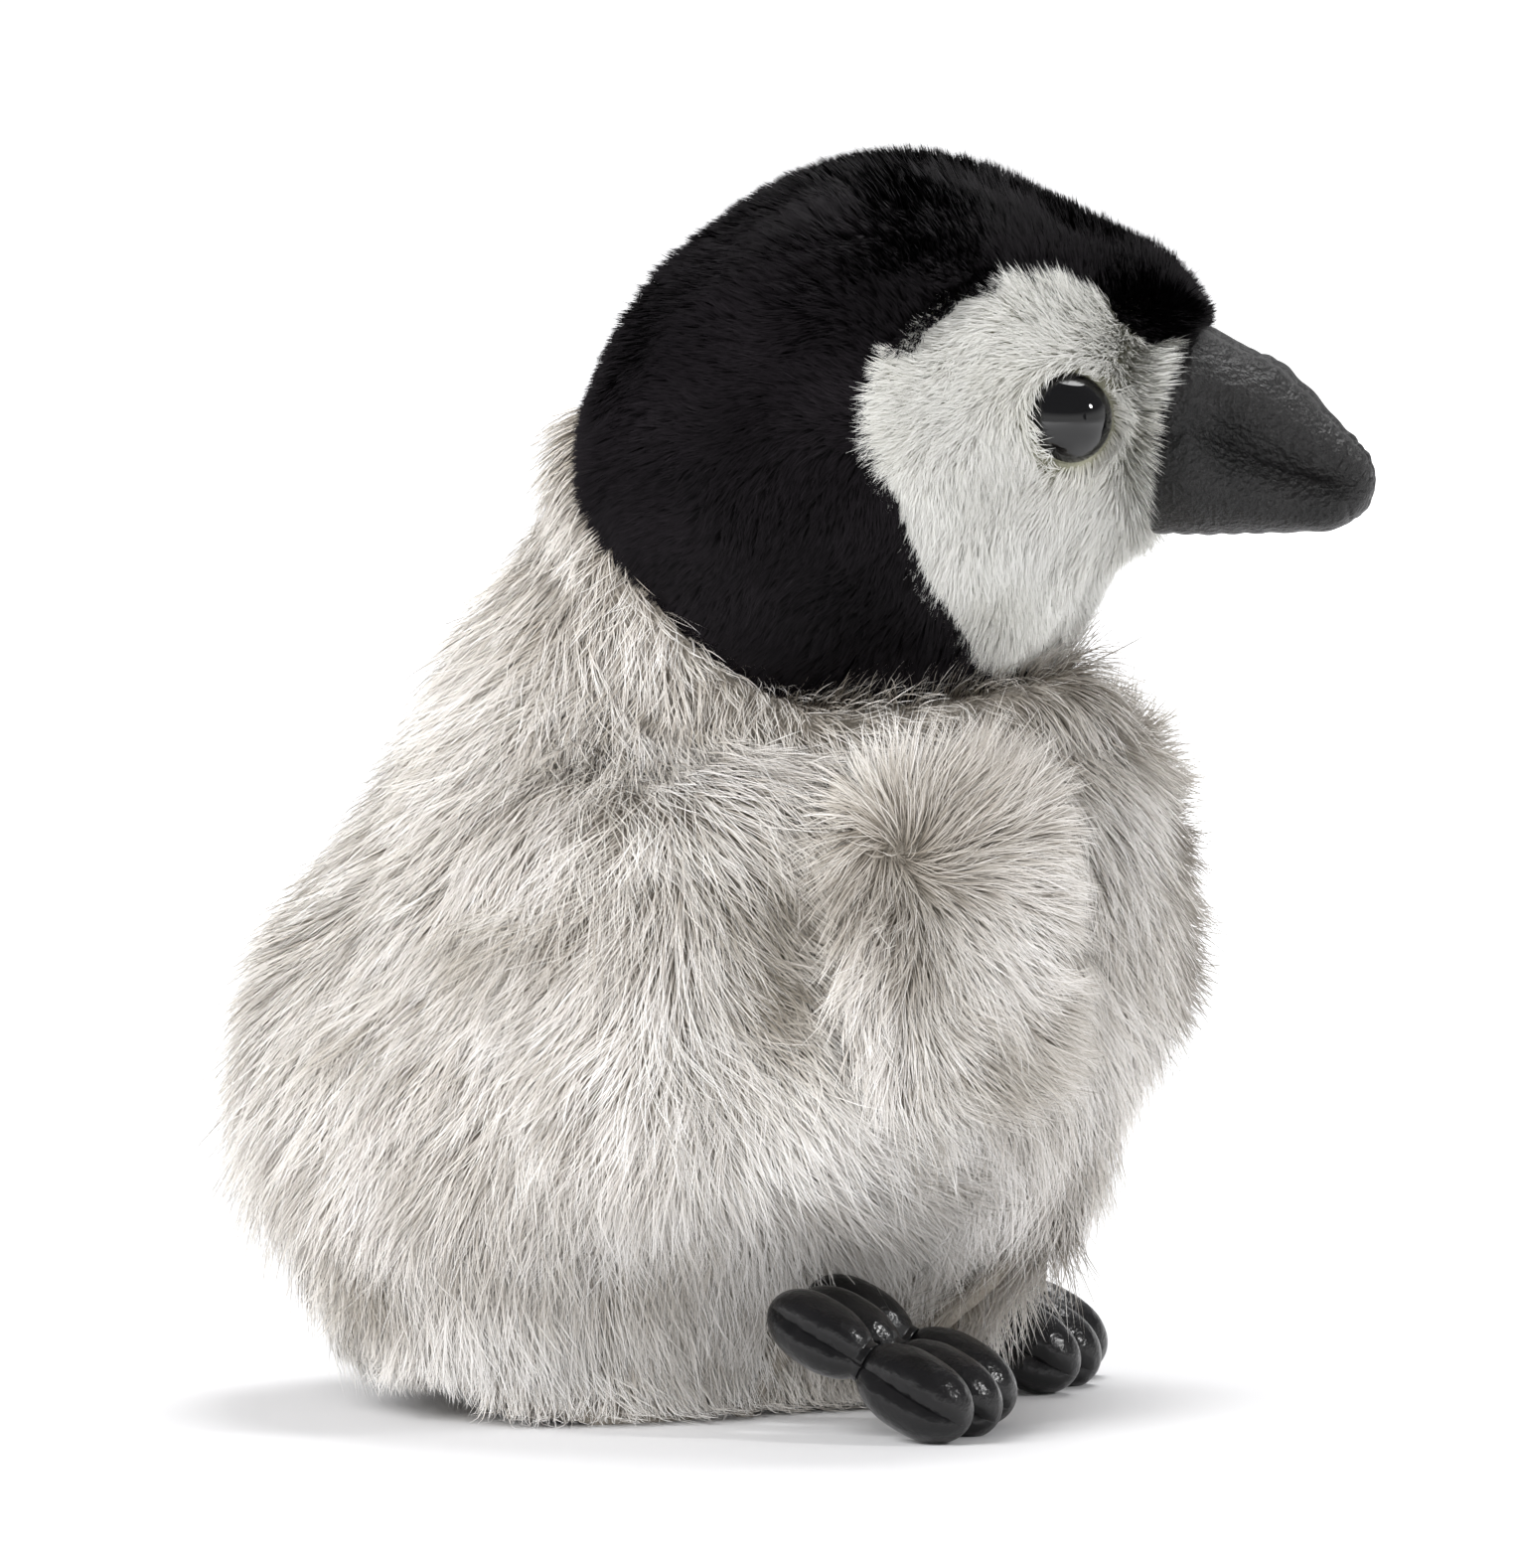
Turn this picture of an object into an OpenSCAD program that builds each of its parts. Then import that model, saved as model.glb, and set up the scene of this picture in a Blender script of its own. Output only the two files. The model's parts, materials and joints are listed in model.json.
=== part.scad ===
// Plush penguin chick that stands on its base. Beak towards +X, its own left towards +Y, floor at z = 0.
// Every fabric piece includes its backing and its combed-down pile.

/* [Body] */
// Half width of the body at its widest
body_half_w = 37.5; // [36:0.5:39]
// Thickness of the long-pile fabric
fur_t = 3; // [2:0.5:3.5]
// Thickness of the flat base fabric
base_t = 3; // [2:0.5:3.5]
// Angle from the breast to the seam between belly and back
belly_angle = 62; // [50:1:75]
// How far the shoulders puff up over a straight slope
shoulder_puff = 4; // [2:0.5:5]

/* [Collar] */
// Clearance between the head and the collar that it turns in
collar_gap = 0.4; // [0.3:0.1:0.6]
// Angle from straight down to the collar at the sides
rim_side = 30; // [28:1:33]
// Extra angle at the throat
rim_throat_rise = 10; // [6:1:12]
// Extra angle at the nape
rim_nape_rise = 68; // [50:1:72]

/* [Neck] */
// Radius of the neck's filling
neck_r = 9.7; // [7:0.1:9.8]
// Height at which the neck's filling starts
neck_z = 56.3; // [52:0.1:60]

/* [Head] */
// Radius of the round part of the head
head_r = 28.8; // [28:0.1:29.2]
// Distance of the head's centre in front of the origin
head_x = 9.2; // [7:0.1:11]
// Height of the head's centre
head_z = 97.9; // [97:0.1:99]
// Radius of the brow and cheeks, which bulge forward
brow_r = 23.3; // [22:0.1:24]
// Distance of the brow's centre in front of the head's centre
brow_x = 10; // [8:0.5:11]
// Height of the brow's centre over the head's centre
brow_z = 2; // [1:0.5:3]
// Thickness of the short-pile fabric
plush_t = 2.6; // [2:0.1:3]
// Width of the crown gusset
gusset_w = 13; // [8:1:16]

/* [Eyes] */
// Diameter of an eye
eye_d = 9; // [7:0.5:10]
// How far the dome of an eye stands up from its rim
eye_dome_h = 3.4; // [2.5:0.1:4]
// Depth of the eye's rim under the pile
eye_sunk = 1.6; // [1:0.1:2]
// Angle of an eye from straight ahead
eye_side = 51; // [45:1:56]
// Angle of an eye above the horizontal
eye_up = 6; // [0:1:12]
// Diameter of the washer that locks an eye
washer_d = 10; // [9:0.5:10.5]

/* [Beak] */
// Radius of the beak at its root
beak_root_r = 10.2; // [9:0.1:10.4]
// Height of the beak's axis at its root
beak_z = 99.7; // [98:0.1:101]
// How far the beak's tip is in front of the origin
beak_tip_x = 59.6; // [56:0.2:62]
// Thickness of the leatherette
leather_t = 0.9; // [0.7:0.1:1.2]

/* [Wings] */
// Width of a wing
wing_w = 22; // [20:1:25]
// Length of a wing
wing_h = 31; // [28:1:34]
// Thickness of a wing's outer fabric
wing_outer_t = 3.6; // [2.5:0.1:4]
// Thickness of a wing's lining
wing_lining_t = 2; // [1.5:0.1:2.5]
// Angle of a wing towards the breast
wing_yaw = 35; // [30:1:40]
// Angle at which a wing hangs away from the vertical
wing_lean = 6.5; // [6:0.5:14]

/* [Feet] */
// Radius of a toe's rear lobe
toe_rear_r = 3.2; // [2.6:0.1:3.3]
// Radius of a toe's front lobe
toe_front_r = 3.7; // [2.8:0.1:3.8]
// Length of a toe's rear lobe
toe_rear = 11; // [9:0.5:12]
// Length of a toe's front lobe
toe_front = 12; // [10:0.5:13]
// Distance between two toes at the heel
toe_pitch = 6.6; // [6.6:0.1:7]
// Downward slope of the toes
toe_slope = 29; // [24:1:32]
// Angle between two toes
toe_fan = 4; // [0:1:6]

/* [Hidden] */
$fn = 64;

FUR_GREY = [0.77, 0.75, 0.72];
LINING_GREY = [0.7, 0.68, 0.65];
HOOD_BLACK = [0.1, 0.09, 0.1];
FACE_WHITE = [0.88, 0.88, 0.86];
LEATHER_BLACK = [0.15, 0.15, 0.15];
EYE_BLACK = [0.03, 0.03, 0.03];
FIBRE_WHITE = [0.95, 0.95, 0.93];
POUCH_CREAM = [0.85, 0.82, 0.74];
PELLET_GREY = [0.6, 0.6, 0.62];
THREAD_BLACK = [0.08, 0.08, 0.08];

// Clearance between the layers of one body, round the body's filling, and as an angle at the body's seams
gap = 0.1;
filling_gap = 0.35;
seam_a = 0.15;
// Something longer than the toy, to cut it in two
half = 200;

// Body outline: height, tail end, breast end, half width as a share of the widest, narrowing of the front
BODY = [
    [0, -31, 8, 0.84, 0.8],
    [5, -46, 16, 0.97, 0.95],
    [12, -54, 24, 1.03, 0.95],
    [17, -56.5, 29, 1.04, 0.85],
    [22, -58, 33, 1.03, 0.5],
    [30, -58.8, 36.5, 1, 0.1],
    [42, -57, 39, 0.96, 0],
    [54, -50.5, 39.5, 0.89, 0],
    [66, -42, 36.5, 0.8, 0]
];
ring_step = 0.5;
narrow_power = 1.5;
// Slope steps and columns of a quarter turn
collar_steps = 4;
cup_steps = 9;
quarter = 12;
turn = 4 * quarter;

HEAD = [head_x, 0, head_z];
BROW = HEAD + [brow_x, 0, brow_z];
cup_r = head_r + collar_gap;
rim_t = fur_t / cup_r * 180 / PI;
neck_clear = 0.3;
bore_r = neck_r + neck_clear;
bore_z = neck_z - neck_clear;

pouch_x = -13;
pouch_r = 14;
pouch_h = 12;
pouch_t = 0.6;
pouch_round = 4;
pouch_z = base_t + gap;
pouch_room = 0.3;

// Outline of a face patch, seen from the side: centre and radius of its round corners
FACE = [[28, 104.2, 13], [31, 83, 9], [42, 98, 12]];

// Back end of the beak inside the head, its straight length there, and its width as a share of its height
beak_root_x = 38;
beak_root_l = 5;
beak_flat = 0.92;
beak_bore_r = beak_root_r + 0.3;
// Middle bulge and blunt tip of the beak: distance behind its foremost point, height over its axis, radius
BEAK_MID = [13.6, 0.8, 7.9];
BEAK_TIP = [4.6, -4.9, 4.6];

stem_r = 1.5;
stem_l = 8;
stem_clear = 0.05;
washer_t = 1.2;
eye_room = 0.15;
dome_r = (eye_d * eye_d / 4 + eye_dome_h * eye_dome_h) / (2 * eye_dome_h);
// Depth of a washer's inner face: the round inside of the face clears its rim
face_inner_r = brow_r - plush_t;
washer_sag = face_inner_r - sqrt(pow(face_inner_r, 2) - pow(washer_d / 2, 2));
washer_z = -plush_t - washer_sag - washer_t - gap;

// Middle of the left wing's hinge line
WING_HINGE = [22.7, 27.6, 66];
wing_corner = 6;
wing_tip_share = 0.86;
wing_edge_t = 0.8;
wing_crown = 4;

// Radius and length of the waist that the thread makes in a toe
toe_waist = 1.7;
toe_waist_l = 1.4;
toe_l = toe_rear + toe_front;
toe_steps = 18;
tie_r = 0.35;
// Heel of the left foot's middle toe, where the foot bends
FOOT = [5.4, 21.6, 13.2];
foot_splay = 3;
middle_toe_lead = 0.8;
web_t = 0.9;
TOES = [-1, 0, 1];

// Smooth curve through a list of rows, at a place between row floor(s) and the next one
function between(a, b, c, d, t) =
    0.5 * (2 * b + (c - a) * t + (2 * a - 5 * b + 4 * c - d) * t * t + (3 * b - a - 3 * c + d) * t * t * t);
function along(rows, s) =
    let (last = len(rows) - 1, i = min(floor(s), last - 1))
    between(rows[max(i - 1, 0)], rows[i], rows[i + 1], rows[min(i + 2, last)], s - i);

// Point of the body's skin: s rows up the outline, at angle a from the breast, inset from the outside
function ring_point(s, a, inset) =
    let (row = along(BODY, s), mid = (row[1] + row[2]) / 2, long = (row[2] - row[1]) / 2 - inset)
    let (wide = row[3] * body_half_w - inset, front = pow((1 + cos(a)) / 2, narrow_power))
    [mid + long * cos(a), wide * sin(a) * (1 - row[4] * front), row[0]];

// Point of the collar's cup, at angle a from the breast and at an angle from straight down
function cup_point(a, down) = HEAD + cup_r * [sin(down) * cos(a), sin(down) * sin(a), -cos(down)];
function rim_angle(a) =
    rim_side + rim_throat_rise * pow((1 + cos(a)) / 2, 4) + rim_nape_rise * pow((1 - cos(a)) / 2, 7);

// Slope from the shoulder to the collar, t from 0 to 1
function slope_point(t, a, inset) =
    let (low = ring_point(len(BODY) - 1, a, inset), top = cup_point(a, rim_angle(a) - inset / fur_t * rim_t))
    let (mid = 0.4 * low + 0.6 * top, lift = (low[2] + top[2]) / 2 + shoulder_puff - inset)
    let (bend = [mid[0], mid[1], lift])
    (1 - t) * (1 - t) * low + 2 * t * (1 - t) * bend + t * t * top;

// One line of the skin from the floor to the collar
function skin_line(a, inset, first = 0) = concat(
    [for (s = [first:ring_step:len(BODY) - 1]) ring_point(s, a, inset)],
    [for (i = [1:collar_steps]) slope_point(i / collar_steps, a, inset)]
);

// Closed solid between two grids of the same size, the first one outside
module shell_between(outer, inner) {
    rows = len(outer);
    cols = len(outer[0]);
    count = rows * cols;
    function at(i, j) = i * cols + j;
    function in_at(i, j) = count + at(i, j);
    function quad(a, b, c, d) = [[a, b, c], [a, c, d]];
    faces = [
        for (i = [0:rows - 2], j = [0:cols - 2])
            each quad(at(i, j), at(i, j + 1), at(i + 1, j + 1), at(i + 1, j)),
        for (i = [0:rows - 2], j = [0:cols - 2])
            each quad(in_at(i, j), in_at(i + 1, j), in_at(i + 1, j + 1), in_at(i, j + 1)),
        for (i = [0:rows - 2])
            each quad(at(i, 0), at(i + 1, 0), in_at(i + 1, 0), in_at(i, 0)),
        for (i = [0:rows - 2])
            each quad(at(i + 1, cols - 1), at(i, cols - 1), in_at(i, cols - 1), in_at(i + 1, cols - 1)),
        for (j = [0:cols - 2])
            each quad(at(0, j + 1), at(0, j), in_at(0, j), in_at(0, j + 1)),
        for (j = [0:cols - 2])
            each quad(at(rows - 1, j), at(rows - 1, j + 1), in_at(rows - 1, j + 1), in_at(rows - 1, j))
    ];
    points = concat([for (line = outer) each line], [for (line = inner) each line]);
    polyhedron(points = points, faces = faces);
}

// Closed solid whose lines run between two poles, all the way round
module lathe_between(lines, low_pole, high_pole) {
    rows = len(lines);
    cols = len(lines[0]);
    low = rows * cols;
    high = low + 1;
    function at(i, j) = (i % rows) * cols + j;
    faces = [
        for (i = [0:rows - 1], j = [0:cols - 2])
            each [[at(i, j), at(i, j + 1), at(i + 1, j + 1)], [at(i, j), at(i + 1, j + 1), at(i + 1, j)]],
        for (i = [0:rows - 1]) [at(i, 0), at(i + 1, 0), low],
        for (i = [0:rows - 1]) [at(i + 1, cols - 1), at(i, cols - 1), high]
    ];
    polyhedron(points = concat([for (line = lines) each line], [low_pole, high_pole]), faces = faces);
}

module fur_panel(from, to, cols) {
    angles = [for (i = [0:cols]) from + (to - from) * i / cols];
    shell_between([for (a = angles) skin_line(a, 0)], [for (a = angles) skin_line(a, fur_t)]);
}

module left_back_panel() {
    fur_panel(belly_angle + seam_a, 180 - seam_a, 2 * quarter - 8);
}

module belly_panel() {
    color(FUR_GREY) fur_panel(-belly_angle, belly_angle, 2 * quarter - 8);
}

module back_panel_left() {
    color(FUR_GREY) left_back_panel();
}

module back_panel_right() {
    color(FUR_GREY) mirror([0, 1, 0]) left_back_panel();
}

module base_panel() {
    rim = [for (i = [0:turn - 1]) ring_point(0, 360 * i / turn, fur_t + filling_gap)];
    color(LINING_GREY) linear_extrude(base_t) polygon([for (p = rim) [p[0], p[1]]]);
}

// Filling of the body, with room for the pellet pouch below and the neck above
function round_point(x, r, a, z) = [x + r * cos(a), r * sin(a), z];
function filling_line(a) =
    let (room_r = pouch_r + pouch_room, room_z = pouch_z + pouch_h + pouch_room)
    let (edge = ring_point(0, a, fur_t + filling_gap), bore_a = asin(bore_r / cup_r))
    let (rim = rim_angle(a) - rim_t * (1 + filling_gap / fur_t))
    concat(
        [round_point(pouch_x, room_r, a, room_z), round_point(pouch_x, room_r, a, pouch_z)],
        [[edge[0], edge[1], pouch_z]],
        skin_line(a, fur_t + filling_gap, 1),
        [for (i = [1:cup_steps]) cup_point(a, rim + (bore_a - rim) * i / cup_steps)],
        [round_point(head_x, bore_r, a, bore_z)]
    );

module torso_stuffing() {
    lines = [for (i = [0:turn - 1]) filling_line(360 * i / turn)];
    pouch_top = [pouch_x, 0, pouch_z + pouch_h + pouch_room];
    color(FIBRE_WHITE) lathe_between(lines, pouch_top, [head_x, 0, bore_z]);
}

module pouch_form(inset) {
    r = pouch_r - inset;
    h = pouch_h - 2 * inset;
    round_r = pouch_round - inset;
    translate([pouch_x, 0, pouch_z + inset]) rotate_extrude() {
        square([r - round_r, h]);
        translate([r - round_r, round_r]) square([round_r, h - 2 * round_r]);
        intersection() {
            translate([r - round_r, round_r]) circle(round_r);
            square([r, round_r]);
        }
        intersection() {
            translate([r - round_r, h - round_r]) circle(round_r);
            translate([0, h - round_r]) square([r, round_r]);
        }
    }
}

module pellet_pouch() {
    color(POUCH_CREAM) difference() {
        pouch_form(0);
        pouch_form(pouch_t);
    }
}

module pellets() {
    color(PELLET_GREY) pouch_form(pouch_t + gap);
}

module neck_stuffing() {
    color(FIBRE_WHITE) difference() {
        translate([head_x, 0, neck_z]) cylinder(r = neck_r, h = head_z - neck_z);
        translate(HEAD) sphere(cup_r);
    }
}

module head_form(inset) {
    translate(HEAD) sphere(head_r - inset);
    translate(BROW) sphere(brow_r - inset);
}

module head_skin() {
    difference() {
        head_form(0);
        head_form(plush_t);
    }
}

module face_prism() {
    rotate([90, 0, 0]) linear_extrude(half, center = true) hull()
        for (corner = FACE) translate([corner[0], corner[1]]) circle(corner[2], $fn = 48);
}

module beak_socket(depth) {
    translate([beak_root_x - depth, 0, beak_z]) rotate([0, 90, 0]) cylinder(r = beak_bore_r, h = half);
}

// Places things on the left eye's spot, with +Z straight out of the head
module at_left_eye() {
    translate(BROW) rotate([0, 90 - eye_up, eye_side]) translate([0, 0, brow_r]) children();
}

module eye_recess() {
    at_left_eye() {
        translate([0, 0, -eye_sunk]) cylinder(d = eye_d + 2 * eye_room, h = half);
        translate([0, 0, -stem_l]) cylinder(r = stem_r + stem_clear, h = stem_l);
    }
}

module left_face_patch() {
    difference() {
        intersection() {
            head_skin();
            face_prism();
            cube(half);
        }
        beak_socket(0);
        eye_recess();
    }
}

module left_hood() {
    difference() {
        head_skin();
        face_prism();
        translate([-half / 2, -half, 0]) cube(half);
        gusset_slab();
    }
}

module gusset_slab() {
    translate([-half / 2, -gusset_w / 2, head_z]) cube([half, gusset_w, half]);
}

module hood_left() {
    color(HOOD_BLACK) left_hood();
}

module hood_right() {
    color(HOOD_BLACK) mirror([0, 1, 0]) left_hood();
}

module crown_gusset() {
    color(HOOD_BLACK) difference() {
        intersection() {
            head_skin();
            gusset_slab();
        }
        face_prism();
        beak_socket(0);
    }
}

module face_patch_left() {
    color(FACE_WHITE) left_face_patch();
}

module face_patch_right() {
    color(FACE_WHITE) mirror([0, 1, 0]) left_face_patch();
}

module eye_pocket() {
    at_left_eye() {
        translate([0, 0, washer_z - gap]) cylinder(d = washer_d + 2 * gap, h = half);
        translate([0, 0, -stem_l - eye_sunk - gap]) cylinder(r = stem_r + gap, h = half);
    }
}

module head_stuffing() {
    color(FIBRE_WHITE) difference() {
        head_form(plush_t + gap);
        beak_socket(gap);
        eye_pocket();
        mirror([0, 1, 0]) eye_pocket();
    }
}

module left_eye() {
    at_left_eye() translate([0, 0, -eye_sunk]) {
        intersection() {
            translate([0, 0, eye_dome_h - dome_r]) sphere(dome_r);
            cylinder(d = eye_d + 1, h = eye_d);
        }
        translate([0, 0, -stem_l]) cylinder(r = stem_r, h = stem_l + 0.5);
    }
}

module left_washer() {
    at_left_eye() translate([0, 0, washer_z]) difference() {
        cylinder(d = washer_d, h = washer_t);
        translate([0, 0, -1]) cylinder(r = stem_r + stem_clear, h = washer_t + 2);
    }
}

module eye_left() {
    color(EYE_BLACK) left_eye();
}

module eye_right() {
    color(EYE_BLACK) mirror([0, 1, 0]) left_eye();
}

module eye_washer_left() {
    color(EYE_BLACK) left_washer();
}

module eye_washer_right() {
    color(EYE_BLACK) mirror([0, 1, 0]) left_washer();
}

module beak_form(inset) {
    translate([0, 0, beak_z]) scale([1, beak_flat, 1]) hull() {
        translate([beak_root_x, 0, 0]) rotate([0, 90, 0])
            cylinder(r = beak_root_r - inset, h = beak_root_l - inset, $fn = 32);
        translate([beak_tip_x - BEAK_MID[0], 0, BEAK_MID[1]]) sphere(BEAK_MID[2] - inset, $fn = 32);
        translate([beak_tip_x - BEAK_TIP[0], 0, BEAK_TIP[1]]) sphere(BEAK_TIP[2] - inset, $fn = 32);
    }
}

module left_beak() {
    intersection() {
        difference() {
            beak_form(0);
            beak_form(leather_t);
        }
        translate([0, gap / 2, 0]) cube(half);
    }
}

module beak_left() {
    color(LEATHER_BLACK) left_beak();
}

module beak_right() {
    color(LEATHER_BLACK) mirror([0, 1, 0]) left_beak();
}

module beak_stuffing() {
    color(FIBRE_WHITE) beak_form(leather_t + gap);
}

// A wing hangs down from its hinge line, which runs along its own X axis, with its outside towards +Y
module at_left_wing() {
    translate(WING_HINGE) rotate([wing_lean, 0, -wing_yaw]) children();
}

module wing_sheet(inset, from, thick) {
    corner_x = wing_w / 2 - wing_corner;
    tip_r = wing_w / 2 * wing_tip_share;
    tip_x = wing_w / 2 - tip_r;
    translate([0, from + thick, 0]) rotate([90, 0, 0]) linear_extrude(thick) hull()
        for (way = [-1, 1]) {
            translate([way * corner_x, -wing_corner]) circle(wing_corner - inset, $fn = 32);
            translate([way * tip_x, tip_r - wing_h]) circle(tip_r - inset, $fn = 48);
        }
}

module left_wing_outer() {
    at_left_wing() hull() {
        wing_sheet(0, gap, wing_edge_t);
        wing_sheet(wing_crown / 3, gap, wing_outer_t * 0.75);
        wing_sheet(wing_crown / 1.5, gap, wing_outer_t);
    }
}

module left_wing_lining() {
    at_left_wing() wing_sheet(0, -wing_lining_t, wing_lining_t);
}

module wing_outer_left() {
    color(FUR_GREY) left_wing_outer();
}

module wing_outer_right() {
    color(FUR_GREY) mirror([0, 1, 0]) left_wing_outer();
}

module wing_lining_left() {
    color(LINING_GREY) left_wing_lining();
}

module wing_lining_right() {
    color(LINING_GREY) mirror([0, 1, 0]) left_wing_lining();
}

// Radius of a toe at a distance from its heel: two lobes and the waist that the thread makes
function lobe(s, from, long, wide) =
    let (u = (s - from) / long * 2 - 1)
    abs(u) >= 1 ? 0 : wide * sqrt(1 - pow(abs(u), 2.4));
function toe_radius(s, inset) =
    let (rear = lobe(s, inset, toe_rear - 1.6 * inset, toe_rear_r - inset))
    let (front = lobe(s, toe_rear + 0.6 * inset, toe_front - 1.6 * inset, toe_front_r - inset))
    let (waist = abs(s - toe_rear) <= toe_waist_l / 2 + inset ? toe_waist - inset : 0)
    max(rear, front, waist);
function toe_profile(inset) =
    let (to = toe_l - inset, step = (to - inset) / toe_steps)
    let (places = [for (i = [1:toe_steps - 1]) inset + i * step])
    concat([[0, inset]], [for (s = places) [toe_radius(s, inset), s]], [[0, to]]);

// Places things on the toes of the left foot, with +X along the toe and +Z up from its seam
module at_left_foot() {
    translate(FOOT) rotate([0, toe_slope, foot_splay]) children();
}

module at_left_toes() {
    at_left_foot() for (k = TOES)
        translate([k == 0 ? middle_toe_lead : 0, k * toe_pitch, 0]) rotate([0, 0, k * toe_fan]) children();
}

module toe_solid(inset, turned) {
    rotate([0, 90, 0]) rotate([0, 0, turned]) rotate_extrude(angle = 180) polygon(toe_profile(inset));
}

module toe_cover(turned) {
    outer = toe_profile(0);
    inner = toe_profile(leather_t);
    back = [for (i = [len(inner) - 1:-1:0]) inner[i]];
    rotate([0, 90, 0]) rotate([0, 0, turned]) rotate_extrude(angle = 180) polygon(concat(outer, back));
}

module left_foot_upper() {
    at_left_toes() toe_cover(90);
}

module left_foot_sole() {
    at_left_toes() toe_cover(-90);
}

module left_toe_stuffing() {
    at_left_toes() {
        toe_solid(leather_t + gap, 90);
        toe_solid(leather_t + gap, -90);
    }
}

module left_foot_web() {
    difference() {
        at_left_foot() translate([0, 0, -web_t / 2]) linear_extrude(web_t) hull() {
            for (k = TOES) translate([3.5, k * toe_pitch]) circle(1.6);
            for (k = TOES) translate([toe_rear - 2, k * toe_pitch * 1.06]) circle(0.8);
        }
        at_left_toes() rotate([0, 90, 0]) rotate_extrude() polygon(toe_profile(-gap));
    }
}

module left_toe_ties() {
    at_left_toes() translate([toe_rear, 0, 0]) rotate([0, 90, 0]) rotate_extrude()
        translate([toe_waist + tie_r + gap / 2, 0]) circle(tie_r);
}

module foot_upper_left() {
    color(LEATHER_BLACK) left_foot_upper();
}

module foot_upper_right() {
    color(LEATHER_BLACK) mirror([0, 1, 0]) left_foot_upper();
}

module foot_sole_left() {
    color(LEATHER_BLACK) left_foot_sole();
}

module foot_sole_right() {
    color(LEATHER_BLACK) mirror([0, 1, 0]) left_foot_sole();
}

module foot_web_left() {
    color(LEATHER_BLACK) left_foot_web();
}

module foot_web_right() {
    color(LEATHER_BLACK) mirror([0, 1, 0]) left_foot_web();
}

module toe_stuffing_left() {
    color(FIBRE_WHITE) left_toe_stuffing();
}

module toe_stuffing_right() {
    color(FIBRE_WHITE) mirror([0, 1, 0]) left_toe_stuffing();
}

module toe_ties_left() {
    color(THREAD_BLACK) left_toe_ties();
}

module toe_ties_right() {
    color(THREAD_BLACK) mirror([0, 1, 0]) left_toe_ties();
}

torso_stuffing();
pellet_pouch();
pellets();
base_panel();
belly_panel();
back_panel_left();
back_panel_right();
neck_stuffing();
head_stuffing();
hood_left();
hood_right();
crown_gusset();
face_patch_left();
face_patch_right();
eye_left();
eye_right();
eye_washer_left();
eye_washer_right();
beak_left();
beak_right();
beak_stuffing();
wing_outer_left();
wing_outer_right();
wing_lining_left();
wing_lining_right();
foot_upper_left();
foot_upper_right();
foot_sole_left();
foot_sole_right();
foot_web_left();
foot_web_right();
toe_stuffing_left();
toe_stuffing_right();
toe_ties_left();
toe_ties_right();
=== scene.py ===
"""Looks of the plush penguin chick: fabrics, strand piles, leatherette beak and feet, and the studio."""

import math

import bpy
import json
import numpy as np
from mathutils import Matrix, Vector, kdtree
from mathutils.bvhtree import BVHTree


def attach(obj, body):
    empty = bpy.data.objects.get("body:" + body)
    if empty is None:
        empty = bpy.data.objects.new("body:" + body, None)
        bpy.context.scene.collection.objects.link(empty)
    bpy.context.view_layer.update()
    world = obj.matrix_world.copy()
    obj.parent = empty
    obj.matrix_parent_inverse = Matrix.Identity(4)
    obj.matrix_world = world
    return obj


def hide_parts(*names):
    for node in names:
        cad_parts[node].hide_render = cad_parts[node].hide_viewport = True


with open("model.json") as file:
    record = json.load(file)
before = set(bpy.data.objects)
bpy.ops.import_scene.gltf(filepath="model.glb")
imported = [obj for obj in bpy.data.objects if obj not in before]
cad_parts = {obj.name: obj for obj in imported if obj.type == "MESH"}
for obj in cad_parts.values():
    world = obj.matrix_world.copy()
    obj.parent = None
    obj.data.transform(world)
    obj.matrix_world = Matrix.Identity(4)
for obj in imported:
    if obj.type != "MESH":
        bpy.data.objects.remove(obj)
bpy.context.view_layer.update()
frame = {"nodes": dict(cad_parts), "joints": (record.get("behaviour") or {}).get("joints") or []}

SEED = 11
MM = 0.001
TO_MM = 1000
JOINTS = {j["name"]: j for j in frame["joints"]}
SIDES = {"left": 1, "right": -1}


def joint_place(name):
    """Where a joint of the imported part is, in mm."""
    return np.array(JOINTS[name]["pos_m"], float) * TO_MM


# Middles of the head's two balls, and the height of the beak's middle line, in mm.
HEAD = joint_place("head_nod")
BROW = HEAD + (10, 0, 2)
BEAK_Z = 99.7


# ---------------------------------------------------------------- numbers
def unit(v):
    """Rows scaled to length one."""
    return v / np.maximum(np.linalg.norm(v, axis=-1, keepdims=True), 1e-9)


def ease(low, high, value):
    """Smooth step from 0 at low to 1 at high."""
    t = np.clip((value - low) / (high - low), 0, 1)
    return t * t * (3 - 2 * t)


def folded(p):
    """The same points on the toy's own left half."""
    return p * (1, 0, 1) + np.abs(p) * (0, 1, 0)


def bell(x, wide):
    """1 where x is 0, falling off over wide."""
    return np.exp(-((x / wide) ** 2))


def blob(p, centre, radii):
    """Soft patch: 1 at its centre, falling off over the radii."""
    return np.exp(-(((p - centre) / radii) ** 2).sum(1))


def stroke(p, a, b, wide):
    """Soft line from a to b."""
    a, b = np.array(a, float), np.array(b, float)
    t = np.clip(((p - a) @ (b - a)) / ((b - a) @ (b - a)), 0, 1)
    return bell(np.linalg.norm(p - a - t[:, None] * (b - a), axis=1), wide)


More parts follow.
